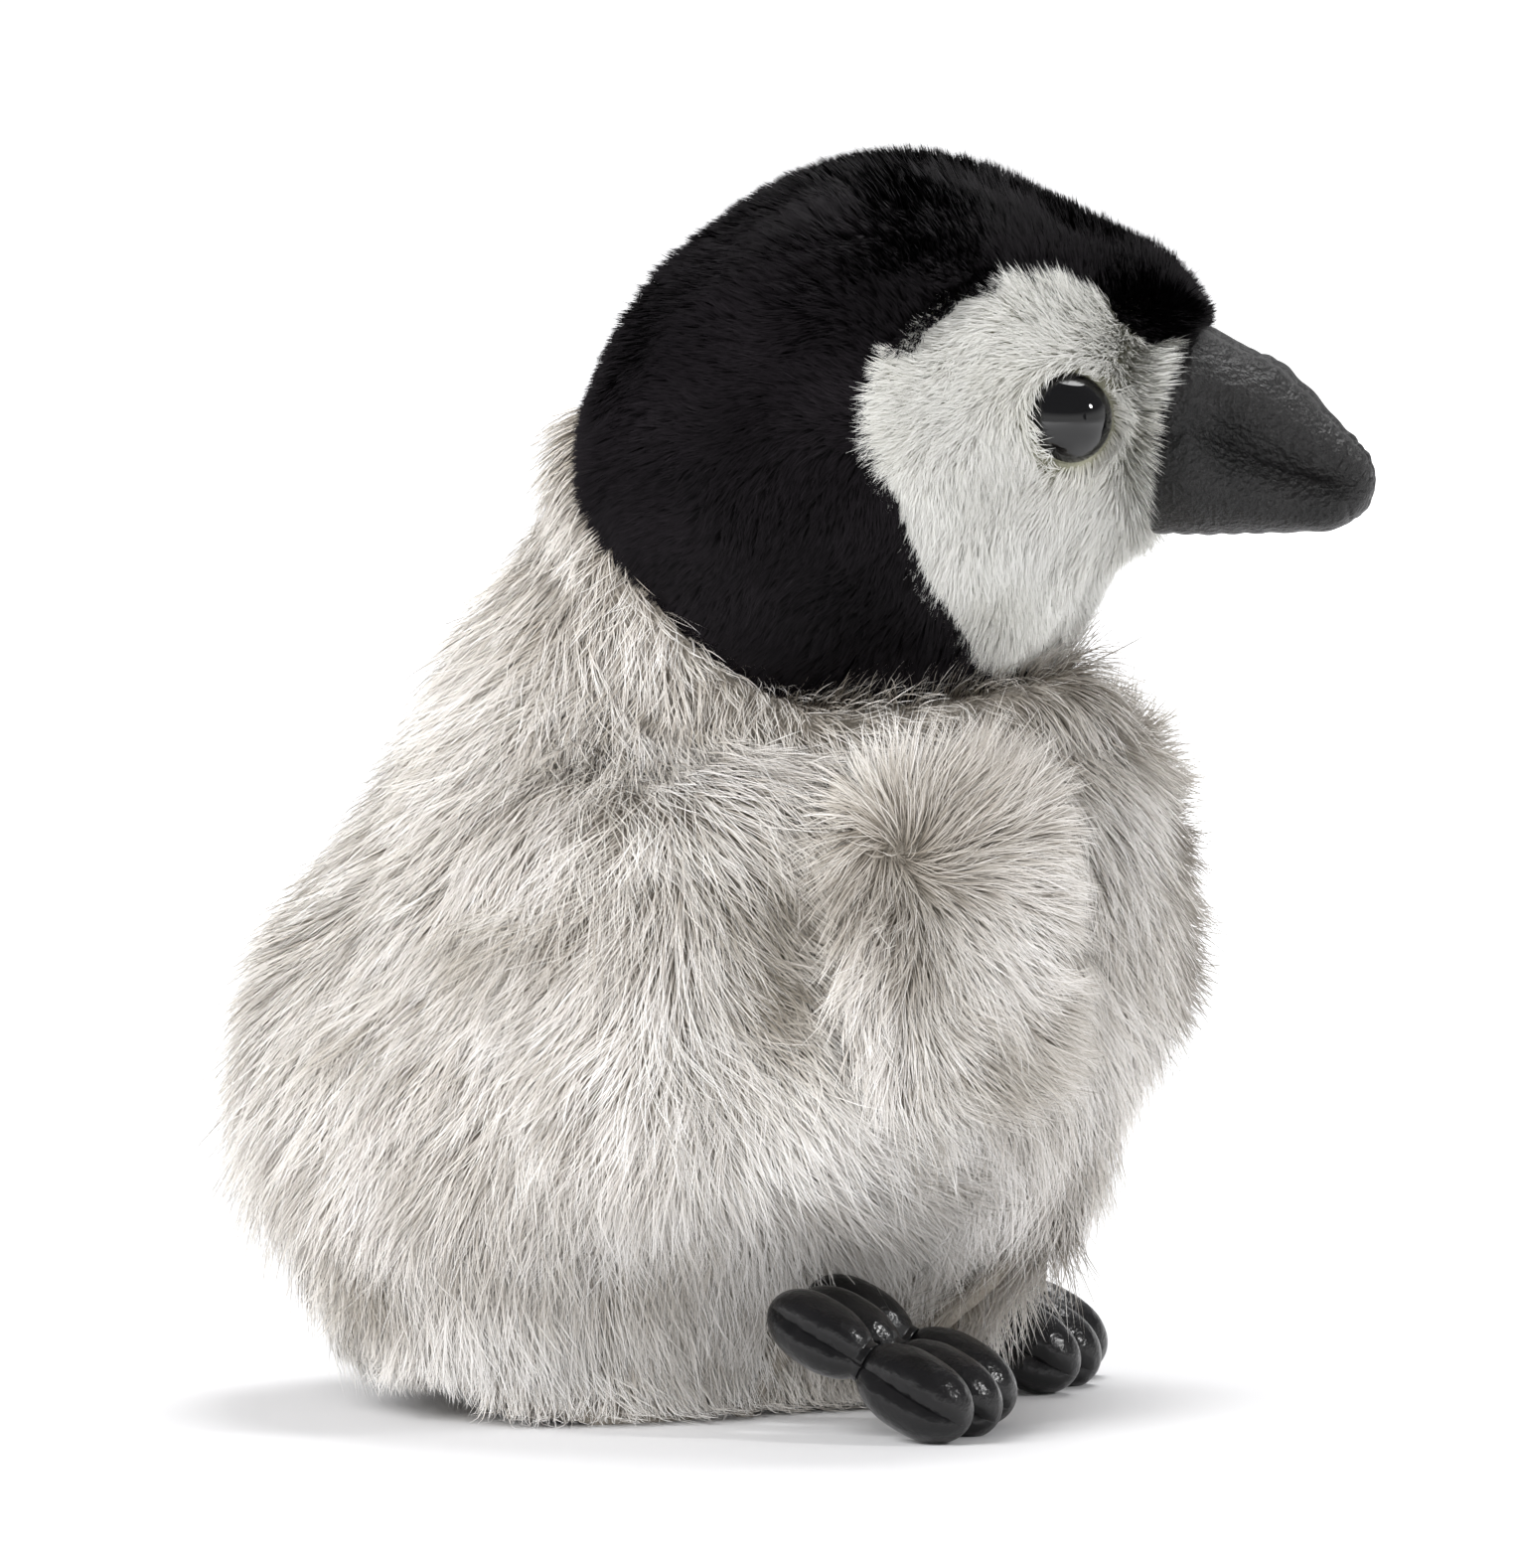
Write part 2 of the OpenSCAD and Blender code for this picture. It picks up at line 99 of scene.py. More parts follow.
def waves(p, size, rng):
    """Smooth noise from about -1 to 1 whose features are about size mm wide."""
    count = 7
    way = unit(rng.normal(size=(count, 3)))
    turn = way * (2 * math.pi / (size * rng.uniform(1.2, 3, (count, 1))))
    return np.sin(p @ turn.T + rng.uniform(0, 6.3, count)).sum(1) / math.sqrt(count) * 1.2


# ---------------------------------------------------------------- meshes
def cad_mesh(name):
    """Welded vertices in mm and triangles of a CAD node."""
    data = frame["nodes"][name].data
    co = np.empty(len(data.vertices) * 3)
    data.vertices.foreach_get("co", co)
    data.calc_loop_triangles()
    tri = np.empty(len(data.loop_triangles) * 3, np.int32)
    data.loop_triangles.foreach_get("vertices", tri)
    place, index = np.unique(np.round(co.reshape(-1, 3) * TO_MM, 3), axis=0, return_inverse=True)
    return place, index.reshape(-1)[tri].reshape(-1, 3)


def joined(parts):
    """Vertex and face lists of several meshes as one."""
    verts, faces, first = [], [], 0
    for v, f in parts:
        verts.append(v)
        faces += [tuple(int(i) + first for i in face) for face in f]
        first += len(v)
    return np.concatenate(verts), faces


def mesh_object(name, verts, faces):
    """Object from vertices in mm and faces."""
    mesh = bpy.data.meshes.new(name)
    places = [tuple(v) for v in np.asarray(verts) * MM]
    mesh.from_pydata(places, [], [tuple(int(i) for i in f) for f in faces])
    mesh.validate()
    mesh.polygons.foreach_set("use_smooth", [True] * len(mesh.polygons))
    made = bpy.data.objects.new(name, mesh)
    bpy.context.scene.collection.objects.link(made)
    return made


def finished(obj):
    """The object's mesh with its modifiers applied."""
    graph = bpy.context.evaluated_depsgraph_get()
    mesh = bpy.data.meshes.new_from_object(obj.evaluated_get(graph))
    obj.modifiers.clear()
    obj.data = mesh
    return obj


def arrays(mesh):
    """Vertices in mm, vertex normals and triangles of a mesh."""
    co = np.empty(len(mesh.vertices) * 3)
    mesh.vertices.foreach_get("co", co)
    normal = np.empty(len(mesh.vertices) * 3)
    mesh.vertices.foreach_get("normal", normal)
    mesh.calc_loop_triangles()
    tri = np.empty(len(mesh.loop_triangles) * 3, np.int32)
    mesh.loop_triangles.foreach_get("vertices", tri)
    return co.reshape(-1, 3) * TO_MM, normal.reshape(-1, 3), tri.reshape(-1, 3)


def moved(obj, places):
    """The object with its vertices at new places in mm."""
    obj.data.vertices.foreach_set("co", (places * MM).reshape(-1))
    obj.data.update()
    return obj


def thickened(obj, thick):
    """The sheet as a solid: it keeps its outer face and gets thick mm behind it."""
    solid = obj.modifiers.new("thick", "SOLIDIFY")
    solid.thickness = thick * MM
    solid.offset = -1
    return finished(obj)


BACKING_THICK, LEATHER_THICK, SHEET_THICK = 0.9, 0.7, 0.5


def outer_skin(name, node, outward, lay, levels=2, hole=None, facing=0.12):
    """Fabric backing from the faces of a CAD node that face outward: smoothed, then laid where lay puts it.

    Gives the backing as an object, and its outer face alone as arrays to grow pile on.
    """
    verts, faces = cad_mesh(node)
    a, b, c = (verts[faces[:, i]] for i in range(3))
    middle = (a + b + c) / 3
    keep = (unit(np.cross(b - a, c - a)) * unit(outward(middle))).sum(1) > facing
    if hole:
        keep &= ~hole(middle)
    used, faces = np.unique(faces[keep], return_inverse=True)
    obj = mesh_object(name, verts[used], faces.reshape(-1, 3))
    obj.modifiers.new("smooth", "SUBSURF").levels = levels
    finished(obj)
    co, normal, _ = arrays(obj.data)
    surface = arrays(moved(obj, lay(co, normal)).data)
    thickened(obj, BACKING_THICK)
    obj.data.polygons.foreach_set("use_smooth", [True] * len(obj.data.polygons))
    return obj, surface


def grown(surface, density, rng):
    """Even random roots on a surface: places, normals."""
    v, n, f = surface
    a, b, c = (v[f[:, i]] for i in range(3))
    area = np.linalg.norm(np.cross(b - a, c - a), axis=1) / 2
    count = int(area.sum() * density)
    pick = rng.choice(len(f), count, p=area / area.sum())
    r, s = rng.random((2, count, 1))
    r, s = np.where(r + s > 1, 1 - r, r), np.where(r + s > 1, 1 - s, s)
    mix = [1 - r - s, r, s]
    place = sum(w * x[pick] for w, x in zip(mix, (a, b, c)))
    normal = unit(sum(w * n[f[pick, i]] for i, w in enumerate(mix)))
    return place, normal


def combed(way, normal):
    """Directions laid into the surface."""
    return unit(way - (way * normal).sum(1, keepdims=True) * normal)


def strand_lines(root, normal, way, long, lift, steps, rng, frizz, clump, clump_size):
    """Points of each strand, which leaves the surface at lift[0] degrees and lies down to lift[1].

    Strands are drawn by clump into tufts of about clump_size, and stray by frizz.
    """
    count = len(root)
    t = np.linspace(0, 1, steps + 1)
    first, last = (np.broadcast_to(np.radians(a), count)[:, None] for a in lift)
    mid = (t[1:] + t[:-1]) / 2
    angle = first + (last - first) * mid[None, :] ** 0.6
    angle = angle + rng.normal(0, 0.09, (count, 1))
    step = (long / steps)[:, None, None]
    move = step * (np.cos(angle)[..., None] * way[:, None] + np.sin(angle)[..., None] * normal[:, None])
    line = root[:, None] + np.concatenate([np.zeros((count, 1, 3)), np.cumsum(move, axis=1)], axis=1)
    heads = rng.choice(count, max(1, count // clump_size), replace=False)
    tree = kdtree.KDTree(len(heads))
    for i, h in enumerate(heads):
        tree.insert(root[h], i)
    tree.balance()
    own = heads[[tree.find(p)[1] for p in root]]
    target = line[own] + 0.3 * (root - root[own])[:, None]
    pull = clump * t[None, :, None] ** 1.2
    line = line + pull * (target - line)
    side = unit(np.cross(way, normal))
    sway = rng.normal(0, frizz, (count, 2)) * long[:, None]
    bend = t[None, :, None] ** 1.7
    return line + bend * (sway[:, :1, None] * side[:, None] + sway[:, 1:, None] * normal[:, None] * 0.6)


SKIN_SHADING = 0.72


def strand_mesh(name, line, normal, wide, tone, rng):
    """Tapered ribbons along the lines, shaded softly like the skin under them.

    UV OFBake holds each strand's tone across and its root to tip along.
    """
    count, points = line.shape[:2]
    t = np.linspace(0, 1, points)
    ahead = unit(np.gradient(line, axis=1))
    side = unit(np.cross(ahead, normal[:, None]))
    up = np.cross(ahead, side)
    roll = rng.normal(0, 0.5, (count, 1, 1))
    across = np.cos(roll) * side + np.sin(roll) * up
    half = 0.5 * wide[:, None, None] * (1 - 0.75 * t[None, :-1, None] ** 1.5)
    pair = np.stack([line[:, :-1] - across[:, :-1] * half, line[:, :-1] + across[:, :-1] * half], axis=2)
    verts = np.concatenate([pair.reshape(count, -1, 3), line[:, -1:]], axis=1)
    per = verts.shape[1]
    base = (np.arange(count) * per)[:, None, None]
    ring = 2 * np.arange(points - 2)[None, :, None]
    quads = (base + ring + np.array([0, 1, 3, 2])).reshape(-1, 4)
    last = per - 3
    tris = (base[:, 0] + np.array([last, last + 1, last + 2])).reshape(-1, 3)
    tone = np.clip(tone, 0.01, 0.97)
    edges = np.stack([tone, tone + 0.02], axis=1)
    u = np.concatenate([edges] * (points - 1) + [tone[:, None] + 0.01], axis=1)
    v = np.broadcast_to(np.concatenate([np.repeat(t[:-1], 2), [1.0]]), u.shape)
    uv = np.stack([u, v], axis=2).reshape(-1, 2)
    loops = np.concatenate([quads.reshape(-1), tris.reshape(-1)])
    first_tri = len(quads) * 4
    starts = np.concatenate([np.arange(len(quads)) * 4, first_tri + np.arange(len(tris)) * 3])
    mesh = bpy.data.meshes.new(name)
    mesh.vertices.add(count * per)
    mesh.vertices.foreach_set("co", (verts * MM).reshape(-1))
    mesh.loops.add(len(loops))
    mesh.loops.foreach_set("vertex_index", loops.astype(np.int32))
    mesh.polygons.add(len(starts))
    mesh.polygons.foreach_set("loop_start", starts.astype(np.int32))
    mesh.uv_layers.new(name="OFBake").data.foreach_set("uv", uv[loops].reshape(-1))
    mesh.update(calc_edges=True)
    mesh.polygons.foreach_set("use_smooth", np.ones(len(starts), bool))
    shade = unit(SKIN_SHADING * normal[:, None] + (1 - SKIN_SHADING) * np.cross(across, ahead))
    shade = np.concatenate([np.repeat(shade[:, :-1], 2, axis=1), shade[:, -1:]], axis=1)
    mesh.normals_split_custom_set_from_vertices(shade.reshape(-1, 3))
    made = bpy.data.objects.new(name, mesh)
    bpy.context.scene.collection.objects.link(made)
    return made


# ---------------------------------------------------------------- materials
def tint(r, g, b):
    """Linear colour from the usual 0 to 255 values, by the sRGB curve."""
    part = [c / 255 for c in (r, g, b)]
    linear = tuple(c / 12.92 if c < 0.04045 else ((c + 0.055) / 1.055) ** 2.4 for c in part)
    return linear + (1.0,)


def blank(name, roughness, specular=0.5):
    """New material with its node tree and its shader."""
    made = bpy.data.materials.new(name)
    made.use_nodes = True
    tree = made.node_tree
    shader = tree.nodes["Principled BSDF"]
    shader.inputs["Roughness"].default_value = roughness
    shader.inputs["Specular IOR Level"].default_value = specular
    return made, tree, shader


def ramp(tree, source, stops):
    """Colour ramp fed by a socket."""
    node = tree.nodes.new("ShaderNodeValToRGB")
    band = node.color_ramp
    while len(band.elements) < len(stops):
        band.elements.new(0.5)
    for element, (at, colour) in zip(band.elements, stops):
        element.position = at
        element.color = colour
    tree.links.new(source, node.inputs["Fac"])
    return node.outputs["Color"]


def multiplied(tree, a, b):
    """Product of two colours."""
    node = tree.nodes.new("ShaderNodeMix")
    node.data_type = "RGBA"
    node.blend_type = "MULTIPLY"
    node.inputs["Factor"].default_value = 1.0
    tree.links.new(a, node.inputs["A"])
    tree.links.new(b, node.inputs["B"])
    return node.outputs["Result"]


CELLS, CLOUDS = "ShaderNodeTexVoronoi", "ShaderNodeTexNoise"


def noise(tree, scale, kind=CLOUDS):
    """Cells or clouds laid in the object's own space."""
    place = tree.nodes.new("ShaderNodeTexCoord")
    node = tree.nodes.new(kind)
    node.inputs["Scale"].default_value = scale
    if "Detail" in node.inputs:
        node.inputs["Detail"].default_value = 3.0
    tree.links.new(place.outputs["Object"], node.inputs["Vector"])
    return node


def pile_material(name, along, across, roughness, specular):
    """Strands: colours from root to tip, times shades over the strands' own tones."""
    made, tree, shader = blank(name, roughness, specular)
    uv = tree.nodes.new("ShaderNodeUVMap")
    uv.uv_map = "OFBake"
    split = tree.nodes.new("ShaderNodeSeparateXYZ")
    tree.links.new(uv.outputs["UV"], split.inputs["Vector"])
    colour = multiplied(tree, ramp(tree, split.outputs["Y"], along), ramp(tree, split.outputs["X"], across))
    tree.links.new(colour, shader.inputs["Base Color"])
    return made


GRAIN_DEEP = 0.0003


def surface_material(name, colours, scale, roughness, grain=0.0, grain_scale=1500.0, kind=CELLS, specular=0.5):
    """Mottled between two colours, with an embossed grain."""
    made, tree, shader = blank(name, roughness, specular)
    low, high = colours
    mottled = ramp(tree, noise(tree, scale).outputs[0], [(0.3, low), (0.7, high)])
    tree.links.new(mottled, shader.inputs["Base Color"])
    if grain:
        bump = tree.nodes.new("ShaderNodeBump")
        bump.inputs["Strength"].default_value = grain
        bump.inputs["Distance"].default_value = GRAIN_DEEP
        tree.links.new(noise(tree, grain_scale, kind).outputs[0], bump.inputs["Height"])
        tree.links.new(bump.outputs["Normal"], shader.inputs["Normal"])
    return made


WHITE = (1.0, 1.0, 1.0, 1.0)
GREY_PILE = pile_material(
    "grey_pile",
    [
        (0.0, tint(142, 135, 124)), (0.3, tint(196, 190, 182)),
        (0.65, tint(234, 231, 227)), (1.0, tint(252, 251, 250)),
    ],
    [(0.0, tint(118, 112, 101)), (0.35, tint(194, 189, 181)), (0.7, tint(240, 238, 235)), (1.0, WHITE)],
    0.55,
    0.3,
)
HOOD_PILE = pile_material(
    "black_pile",
    [(0.0, tint(12, 11, 12)), (1.0, tint(40, 37, 40))],
    [(0.0, tint(120, 115, 120)), (0.9, tint(205, 200, 205)), (1.0, WHITE)],
    0.7,
    0.12,
)
FACE_PILE = pile_material(
    "white_pile",
    [(0.0, tint(206, 204, 194)), (0.4, tint(228, 227, 223)), (1.0, tint(243, 243, 241))],
    [(0.0, tint(206, 204, 192)), (0.5, tint(240, 240, 237)), (1.0, WHITE)],
    0.6,
    0.25,
)
GREY_BACKING = surface_material("grey_backing", (tint(146, 139, 128), tint(170, 163, 152)), 300, 0.9, 0.4, 2200)
BLACK_BACKING = surface_material("black_backing", (tint(12, 11, 12), tint(20, 18, 20)), 300, 0.9, 0.4, 2200)
# Backing of the white face fabric, coloured dull greenish grey as painted shade: it shows as the shadowed rim
# of the eye's opening.
FACE_BACKING_SHADE = surface_material(
    "face_backing_shade", (tint(128, 128, 108), tint(158, 157, 138)), 300, 0.9, 0.4, 2200
)
LEATHER = surface_material(
    "grained_leatherette", (tint(18, 18, 18), tint(30, 29, 29)), 160, 0.4, 1.0, 1350, specular=0.32
)
GLOSSY = surface_material(
    "glossy_leatherette", (tint(10, 10, 11), tint(20, 19, 20)), 200, 0.25, 0.3, 700, specular=0.45
)
EYE = surface_material("eye_black", (tint(3, 3, 4), tint(7, 7, 8)), 120, 0.05, specular=0.55)
THREAD = surface_material("black_thread", (tint(18, 18, 18), tint(34, 33, 33)), 2500, 0.55, 0.5, 5000, CLOUDS)
FILL = surface_material("fibre_fill", (tint(236, 236, 230), tint(250, 250, 248)), 400, 0.95, 0.8, 900, CLOUDS)
POUCH = surface_material("pouch_cloth", (tint(206, 198, 178), tint(224, 217, 198)), 900, 0.9, 0.5, 2600)
PELLETS = surface_material("pellet_fill", (tint(140, 140, 146), tint(176, 176, 180)), 380, 0.5, 1.0, 400)
WASHER = surface_material("washer_black", (tint(20, 20, 20), tint(30, 30, 30)), 500, 0.4, 0.2, 1800)
LINING = surface_material("lining_grey", (tint(150, 145, 138), tint(186, 181, 174)), 500, 0.9, 0.6, 2400)


def dressed(obj, material, body=None):
    """Gives a piece its material and the body it rides on."""
    obj.data.materials.clear()
    obj.data.materials.append(material)
    if body:
        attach(obj, body)


# ---------------------------------------------------------------- body
WING_TILT = 6.5


def wing_frame(side):
    """Wing's own axes as rows (forward, outward, up) and its hinge, from its joint."""
    joint = JOINTS[f"wing_{side}_flap"]
    sign = SIDES[side]
    forward = np.array(joint["axis"], float) * sign
    hinge = joint_place(f"wing_{side}_flap")
    flat = np.cross((0, 0, 1), forward) * sign
    tilt = math.radians(WING_TILT)
    outward = flat * math.cos(tilt) + np.array((0, 0, 1)) * math.sin(tilt)
    up = np.array((0, 0, 1)) * math.cos(tilt) - flat * math.sin(tilt)
    return np.array([forward, outward, up]), hinge


# Middle of the thigh's puff, and the left foot's joint, in mm.
THIGH = (13, 37, 36)
HEEL = joint_place("foot_left_flex")


def body_out(p):
    """Outward from the body's middle line."""
    high = ease(60, 70, p[:, 2:])
    return p * (1, 1, 0) + np.concatenate([9 * (1 - high), 0 * high, high * (p[:, 2:] - 40)], axis=1)


def near_rim(p):
    """1 at the collar, fading to 0 a few millimetres below it."""
    return ease(36, 30, np.linalg.norm(p - HEAD, axis=1))


def body_inset(p):
    """Depth of the backing under the pile: less towards the collar, where pile is cropped, and the floor."""
    return 4.0 - 3.6 * near_rim(p) - 2.2 * ease(8, 1, p[:, 2])


def body_shape(p):
    """Puffs and hollows of the body under its pile, in mm."""
    q = folded(p)
    thigh = 5.5 * blob(q, THIGH, (13, 18, 10))
    ridge = 2.2 * stroke(q, (-4, 36, 58), (-6, 38, 40), 4.5)
    ridge = ridge + 1.6 * stroke(q, (-6, 38, 40), (-2, 37, 27), 4.5)
    fold = -1.0 * stroke(q, (-40, 20, 22), (-34, 28, 13), 3) - 1.2 * stroke(q, (2, 36, 62), (4, 38, 44), 3.5)
    breast = 0.2 * blob(p, (37, 0, 54), (12, 40, 13)) - 1.8 * blob(p, (34, 0, 29), (11, 40, 7))
    breast = breast + 0.6 * blob(p, (32, 0, 14), (11, 40, 8))
    back = -1.8 * blob(p, (-50, 0, 55), (20, 40, 22)) - 5.3 * blob(p, (-58, 0, 11), (15, 40, 12))
    return thigh + ridge + fold + breast + back


def body_lay(p, normal):
    """Places of the body's fabric under its pile."""
    return p + normal * (body_shape(p) - body_inset(p))[:, None]


def body_way(p, normal, rng):
    """Which way the long pile is combed."""
    q = folded(p)
    way = np.zeros_like(p)
    way[:, 2] = -1
    back = ease(0, -35, q[:, 0]) * ease(8, 30, q[:, 2])
    way[:, 0] -= 0.35 * back
    leg = blob(q, (14, 37, 32), (15, 22, 17))
    way[:, 0] += 1.1 * leg
    throat = ease(20, 34, q[:, 0])
    way[:, 0] += 0.25 * throat + 1.3 * blob(p, (32, 0, 71), (12, 24, 7))
    shoulder = blob(q, (2, 30, 68), (18, 16, 9))
    way[:, 0] += 1.0 * shoulder + 0.6 * blob(q, (8, 38, 52), (7, 20, 12))
    way[:, 0] -= 0.5 * blob(q, (-12, 38, 42), (6, 20, 16))
    way = combed(way, normal)
    side = np.cross(normal, way)
    turn = 0.3 * waves(p, 14, rng) + 0.2 * waves(p, 5, rng)
    return unit(way + turn[:, None] * side)


def wing_edge_shadow(q):
    """1 on the body just behind and below the wing, where its edge casts a shadow: the mask of the painted
    shade there.
    """
    axes, hinge = wing_frame("left")
    local = (q - hinge) @ axes.T
    u, up = local[:, 0], local[:, 2]
    far = np.hypot(u / 10.5, (up + 15.5) / 15)
    behind = np.maximum(ease(1, -4, u), ease(-17, -24, up))
    return bell(far - 1.08, 0.2) * behind * ease(24, 28, q[:, 1])


def body_tone(p, rng):
    """Light and dark of the long pile: random tone, with painted shade in the wing's shadow, at its root, in
    the folds, under the hood's rim and by the foot, painted highlights on the thigh and the ridge behind the
    wing, and painted light low on the rear.
    """
    q = folded(p)
    flank = 0.16 * blob(q, (-18, 38, 46), (11, 20, 14))
    tone = np.full(len(p), 0.7)
    # Painted shade: the shadow cast by the wing's edge, and a band below the hood's rim; the flank is darker
    # too.
    tone -= 0.75 * wing_edge_shadow(q) + flank + 0.12 * blob(q, (0, 34, 70), (16, 20, 7))
    # Painted shade in the hollow where the wing meets the shoulder.
    tone -= 0.5 * blob(q, (13, 34, 65.5), (5, 10, 4))
    # Painted shade by the foot, under the haunch; and painted light low on the rear, standing in for light
    # bounced off the floor.
    tone -= 0.12 * blob(q, (8, 34, 7), (13, 18, 6)) - 0.2 * ease(26, 12, q[:, 2]) * ease(4, -6, q[:, 0])
    # Painted shade in the fold behind the wing, and a darker streak behind the ridge.
    tone -= 0.75 * blob(q, (3.5, 38, 50), (4, 20, 11)) + 0.2 * stroke(q, (-12, 37, 54), (-13, 38, 36), 2.5)
    # Darker just above the toes, and painted shade along the back's low fold.
    tone -= 0.3 * blob(q, (26, 30, 20), (7, 14, 9)) + 0.3 * stroke(q, (-40, 20, 22), (-34, 28, 13), 2.5)
    # Painted highlights on the thigh's puff and along the ridge behind the wing.
    tone += 0.42 * blob(q, THIGH, (14, 20, 11)) + 0.6 * stroke(q, (-4, 36, 58), (-6, 38, 34), 3.5)
    return tone + 0.13 * waves(p, 7, rng) + 0.08 * waves(p, 3, rng) + rng.normal(0, 0.1, len(p))


def over_toes(line, room):
    """Strands that would run into a toe are laid over its outer side instead, room mm from its middle line."""
    flat = line.reshape(-1, 3).copy()
    for sign in SIDES.values():
        for a, b in toe_axes(sign):
            t = np.clip(((flat - a) @ (b - a)) / ((b - a) @ (b - a)), 0, 1)
            off = flat - a - t[:, None] * (b - a)
            far = np.linalg.norm(off, axis=1)
            hit = far < room
            over = off[hit] + np.array((0, 3.5 * sign, 1.5)) * (1 - far[hit] / room)[:, None]
            flat[hit] += unit(over) * room - off[hit]
    return flat.reshape(line.shape)


# Angles of the foot in degrees, then the toes' spacing and the middle toe's lead in mm.
TOE_SLOPE, FOOT_SPLAY, TOE_FAN, TOE_PITCH, TOE_LEAD = 29, 3, 4, 6.6, 0.8
# Lengths of a toe's two lobes, their radii and its waist's radius, in mm.
TOE_REAR, TOE_FRONT, TOE_REAR_R, TOE_FRONT_R, WAIST_R = 11, 12, 3.2, 3.7, 1.7
TOES = (-1, 0, 1)


def toe_frame(sign, k):
    """Matrix that puts a toe along its own +X, in mm."""
    foot = Matrix.Translation(HEEL * (1, sign, 1))
    foot = foot @ Matrix.Rotation(math.radians(FOOT_SPLAY * sign), 4, "Z")
    foot = foot @ Matrix.Rotation(math.radians(TOE_SLOPE), 4, "Y")
    shift = Matrix.Translation((TOE_LEAD if k == 0 else 0, k * TOE_PITCH * sign, 0))
    return foot @ shift @ Matrix.Rotation(math.radians(k * TOE_FAN * sign), 4, "Z")


def toe_axes(sign):
    """Start and end of each toe's middle line."""
    for k in TOES:
        m = toe_frame(sign, k)
        yield np.array(m @ Vector((1, 0, 0))), np.array(m @ Vector((TOE_REAR + TOE_FRONT - 1, 0, 0)))


# Strands to a square mm in each of the two layers, and their width in mm.
BODY_DENSITY, PILE_WIDE = 3.7, (0.08, 0.17)


def long_pile(name, surface, rng):
    """Long combed pile of one body panel: cropped at the collar, hung over the toes and flared on the floor."""
    root, normal = grown(surface, BODY_DENSITY, rng)
    q = folded(root)
    low = ease(8, 2, q[:, 2])
    keep = (rng.random(len(root)) > 0.45 * low) & (root[:, 2] > 1.2)
    root, normal, q = root[keep], normal[keep], q[keep]
    way = body_way(root, normal, rng)
    rim = near_rim(root)
    nape = ease(-2, -16, root[:, 0])
    long = 10.5 + 1.6 * waves(root, 12, rng)
    long = long + 2.2 * waves(root, 7, rng) * blob(root, (0, 0, 21), (80, 80, 6))
    long = long - (3.5 - nape) * rim + 1.5 * blob(q, (14, 37, 28), (14, 20, 12))
    long = long + 2.5 * blob(root, (32, 0, 71), (10, 24, 6))
    above_toes = 5.5 * blob(q, (15, 25, 21), (10, 10, 7))
    long += 3.0 * blob(q, (8, 36, 23), (11, 8, 6)) + above_toes + 4.0 * blob(q, (25, 24, 19), (9, 9, 7))
    long *= rng.uniform(0.62, 1.12, len(root))
    long *= 1 - 0.3 * ease(12, 4, q[:, 2]) * (1 - blob(q, (15, 25, 16), (12, 12, 10)))
    first = 52 + rim * (22 - 24 * nape) + 8 * waves(root, 9, rng)
    last = 10 + 9 * waves(root, 8, rng) + rim * (16 - 12 * nape) + 10 * blob(q, (9, 37, 27), (16, 20, 7))
    last += 20 * blob(q, (21, 26, 18), (13, 10, 7))
    line = strand_lines(root, normal, way, long, (first, last), 4, rng, frizz=0.15, clump=0.45, clump_size=16)
    rear = ease(-20, -27, root[:, 0])
    hover = -9 * (1 - rear) + (3.2 + 1.2 * waves(root, 6, rng)) * rear
    lowest = line[..., 2].min(1)
    share = np.clip((root[:, 2] - hover) / np.maximum(root[:, 2] - lowest, 0.1), 0, 1)
    line = root[:, None] + (line - root[:, None]) * share[:, None, None]
    ok = share > 0.12
    floor = (0.2 + 1.1 * rng.random(len(root)))[:, None]
    sunk = np.maximum(floor - line[..., 2], 0)
    line += 0.6 * sunk[..., None] * unit(normal * (1, 1, 0))[:, None]
    line[..., 2] = np.maximum(line[..., 2], floor)
    line = over_toes(line, TOE_FRONT_R + 0.15)
    tone = body_tone(root, rng)
    wide = rng.uniform(*PILE_WIDE, len(root))
    return strand_mesh(name, line[ok], normal[ok], wide[ok], tone[ok], rng)


filling = mesh_object("body_filling", *cad_mesh("torso_stuffing"))
filled, normal, _ = arrays(filling.data)
sunk = np.minimum(body_shape(filled), 0) - 1.8 * (1 - near_rim(filled)) - 0.3
moved(filling, filled + normal * sunk[:, None])
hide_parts("torso_stuffing")
dressed(filling, FILL, "torso")

PANELS = {"belly": "belly_panel", "back_left": "back_panel_left", "back_right": "back_panel_right"}
for number, (short, node) in enumerate(PANELS.items()):
    rng = np.random.default_rng(SEED + number)
    skin, surface = outer_skin(short + "_fabric", node, body_out, body_lay)
    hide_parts(node)
    dressed(skin, GREY_BACKING, "torso")
    for layer in ("a", "b"):
        pile = long_pile(f"{short}_pile_{layer}", surface, rng)
        dressed(pile, GREY_PILE, "torso")


# ---------------------------------------------------------------- head
def head_out(p):
    """Outward from the head's middle."""
    return p - np.where(p[:, :1] > BROW[0], BROW, HEAD)


HEAD_R = max(np.linalg.norm(v - HEAD) for v in cad_mesh("hood_left")[0] if v[0] < HEAD[0])
BROW_R = max(np.linalg.norm(v - BROW) for v in cad_mesh("face_patch_left")[0] if v[0] > 38)
SOCKET_R = 10.4
# How deep the fabrics and the filling lie under the head's outside, in mm.
HOOD_DEEP, FACE_DEEP, FILL_DEEP = 1.5, 1.9, 3.0
# How squarely a face of the CAD must look outward to become the head's fabric.
HEAD_FACING = 0.6
HOOD_WIDE, FACE_WIDE = (0.14, 0.24), (0.08, 0.14)
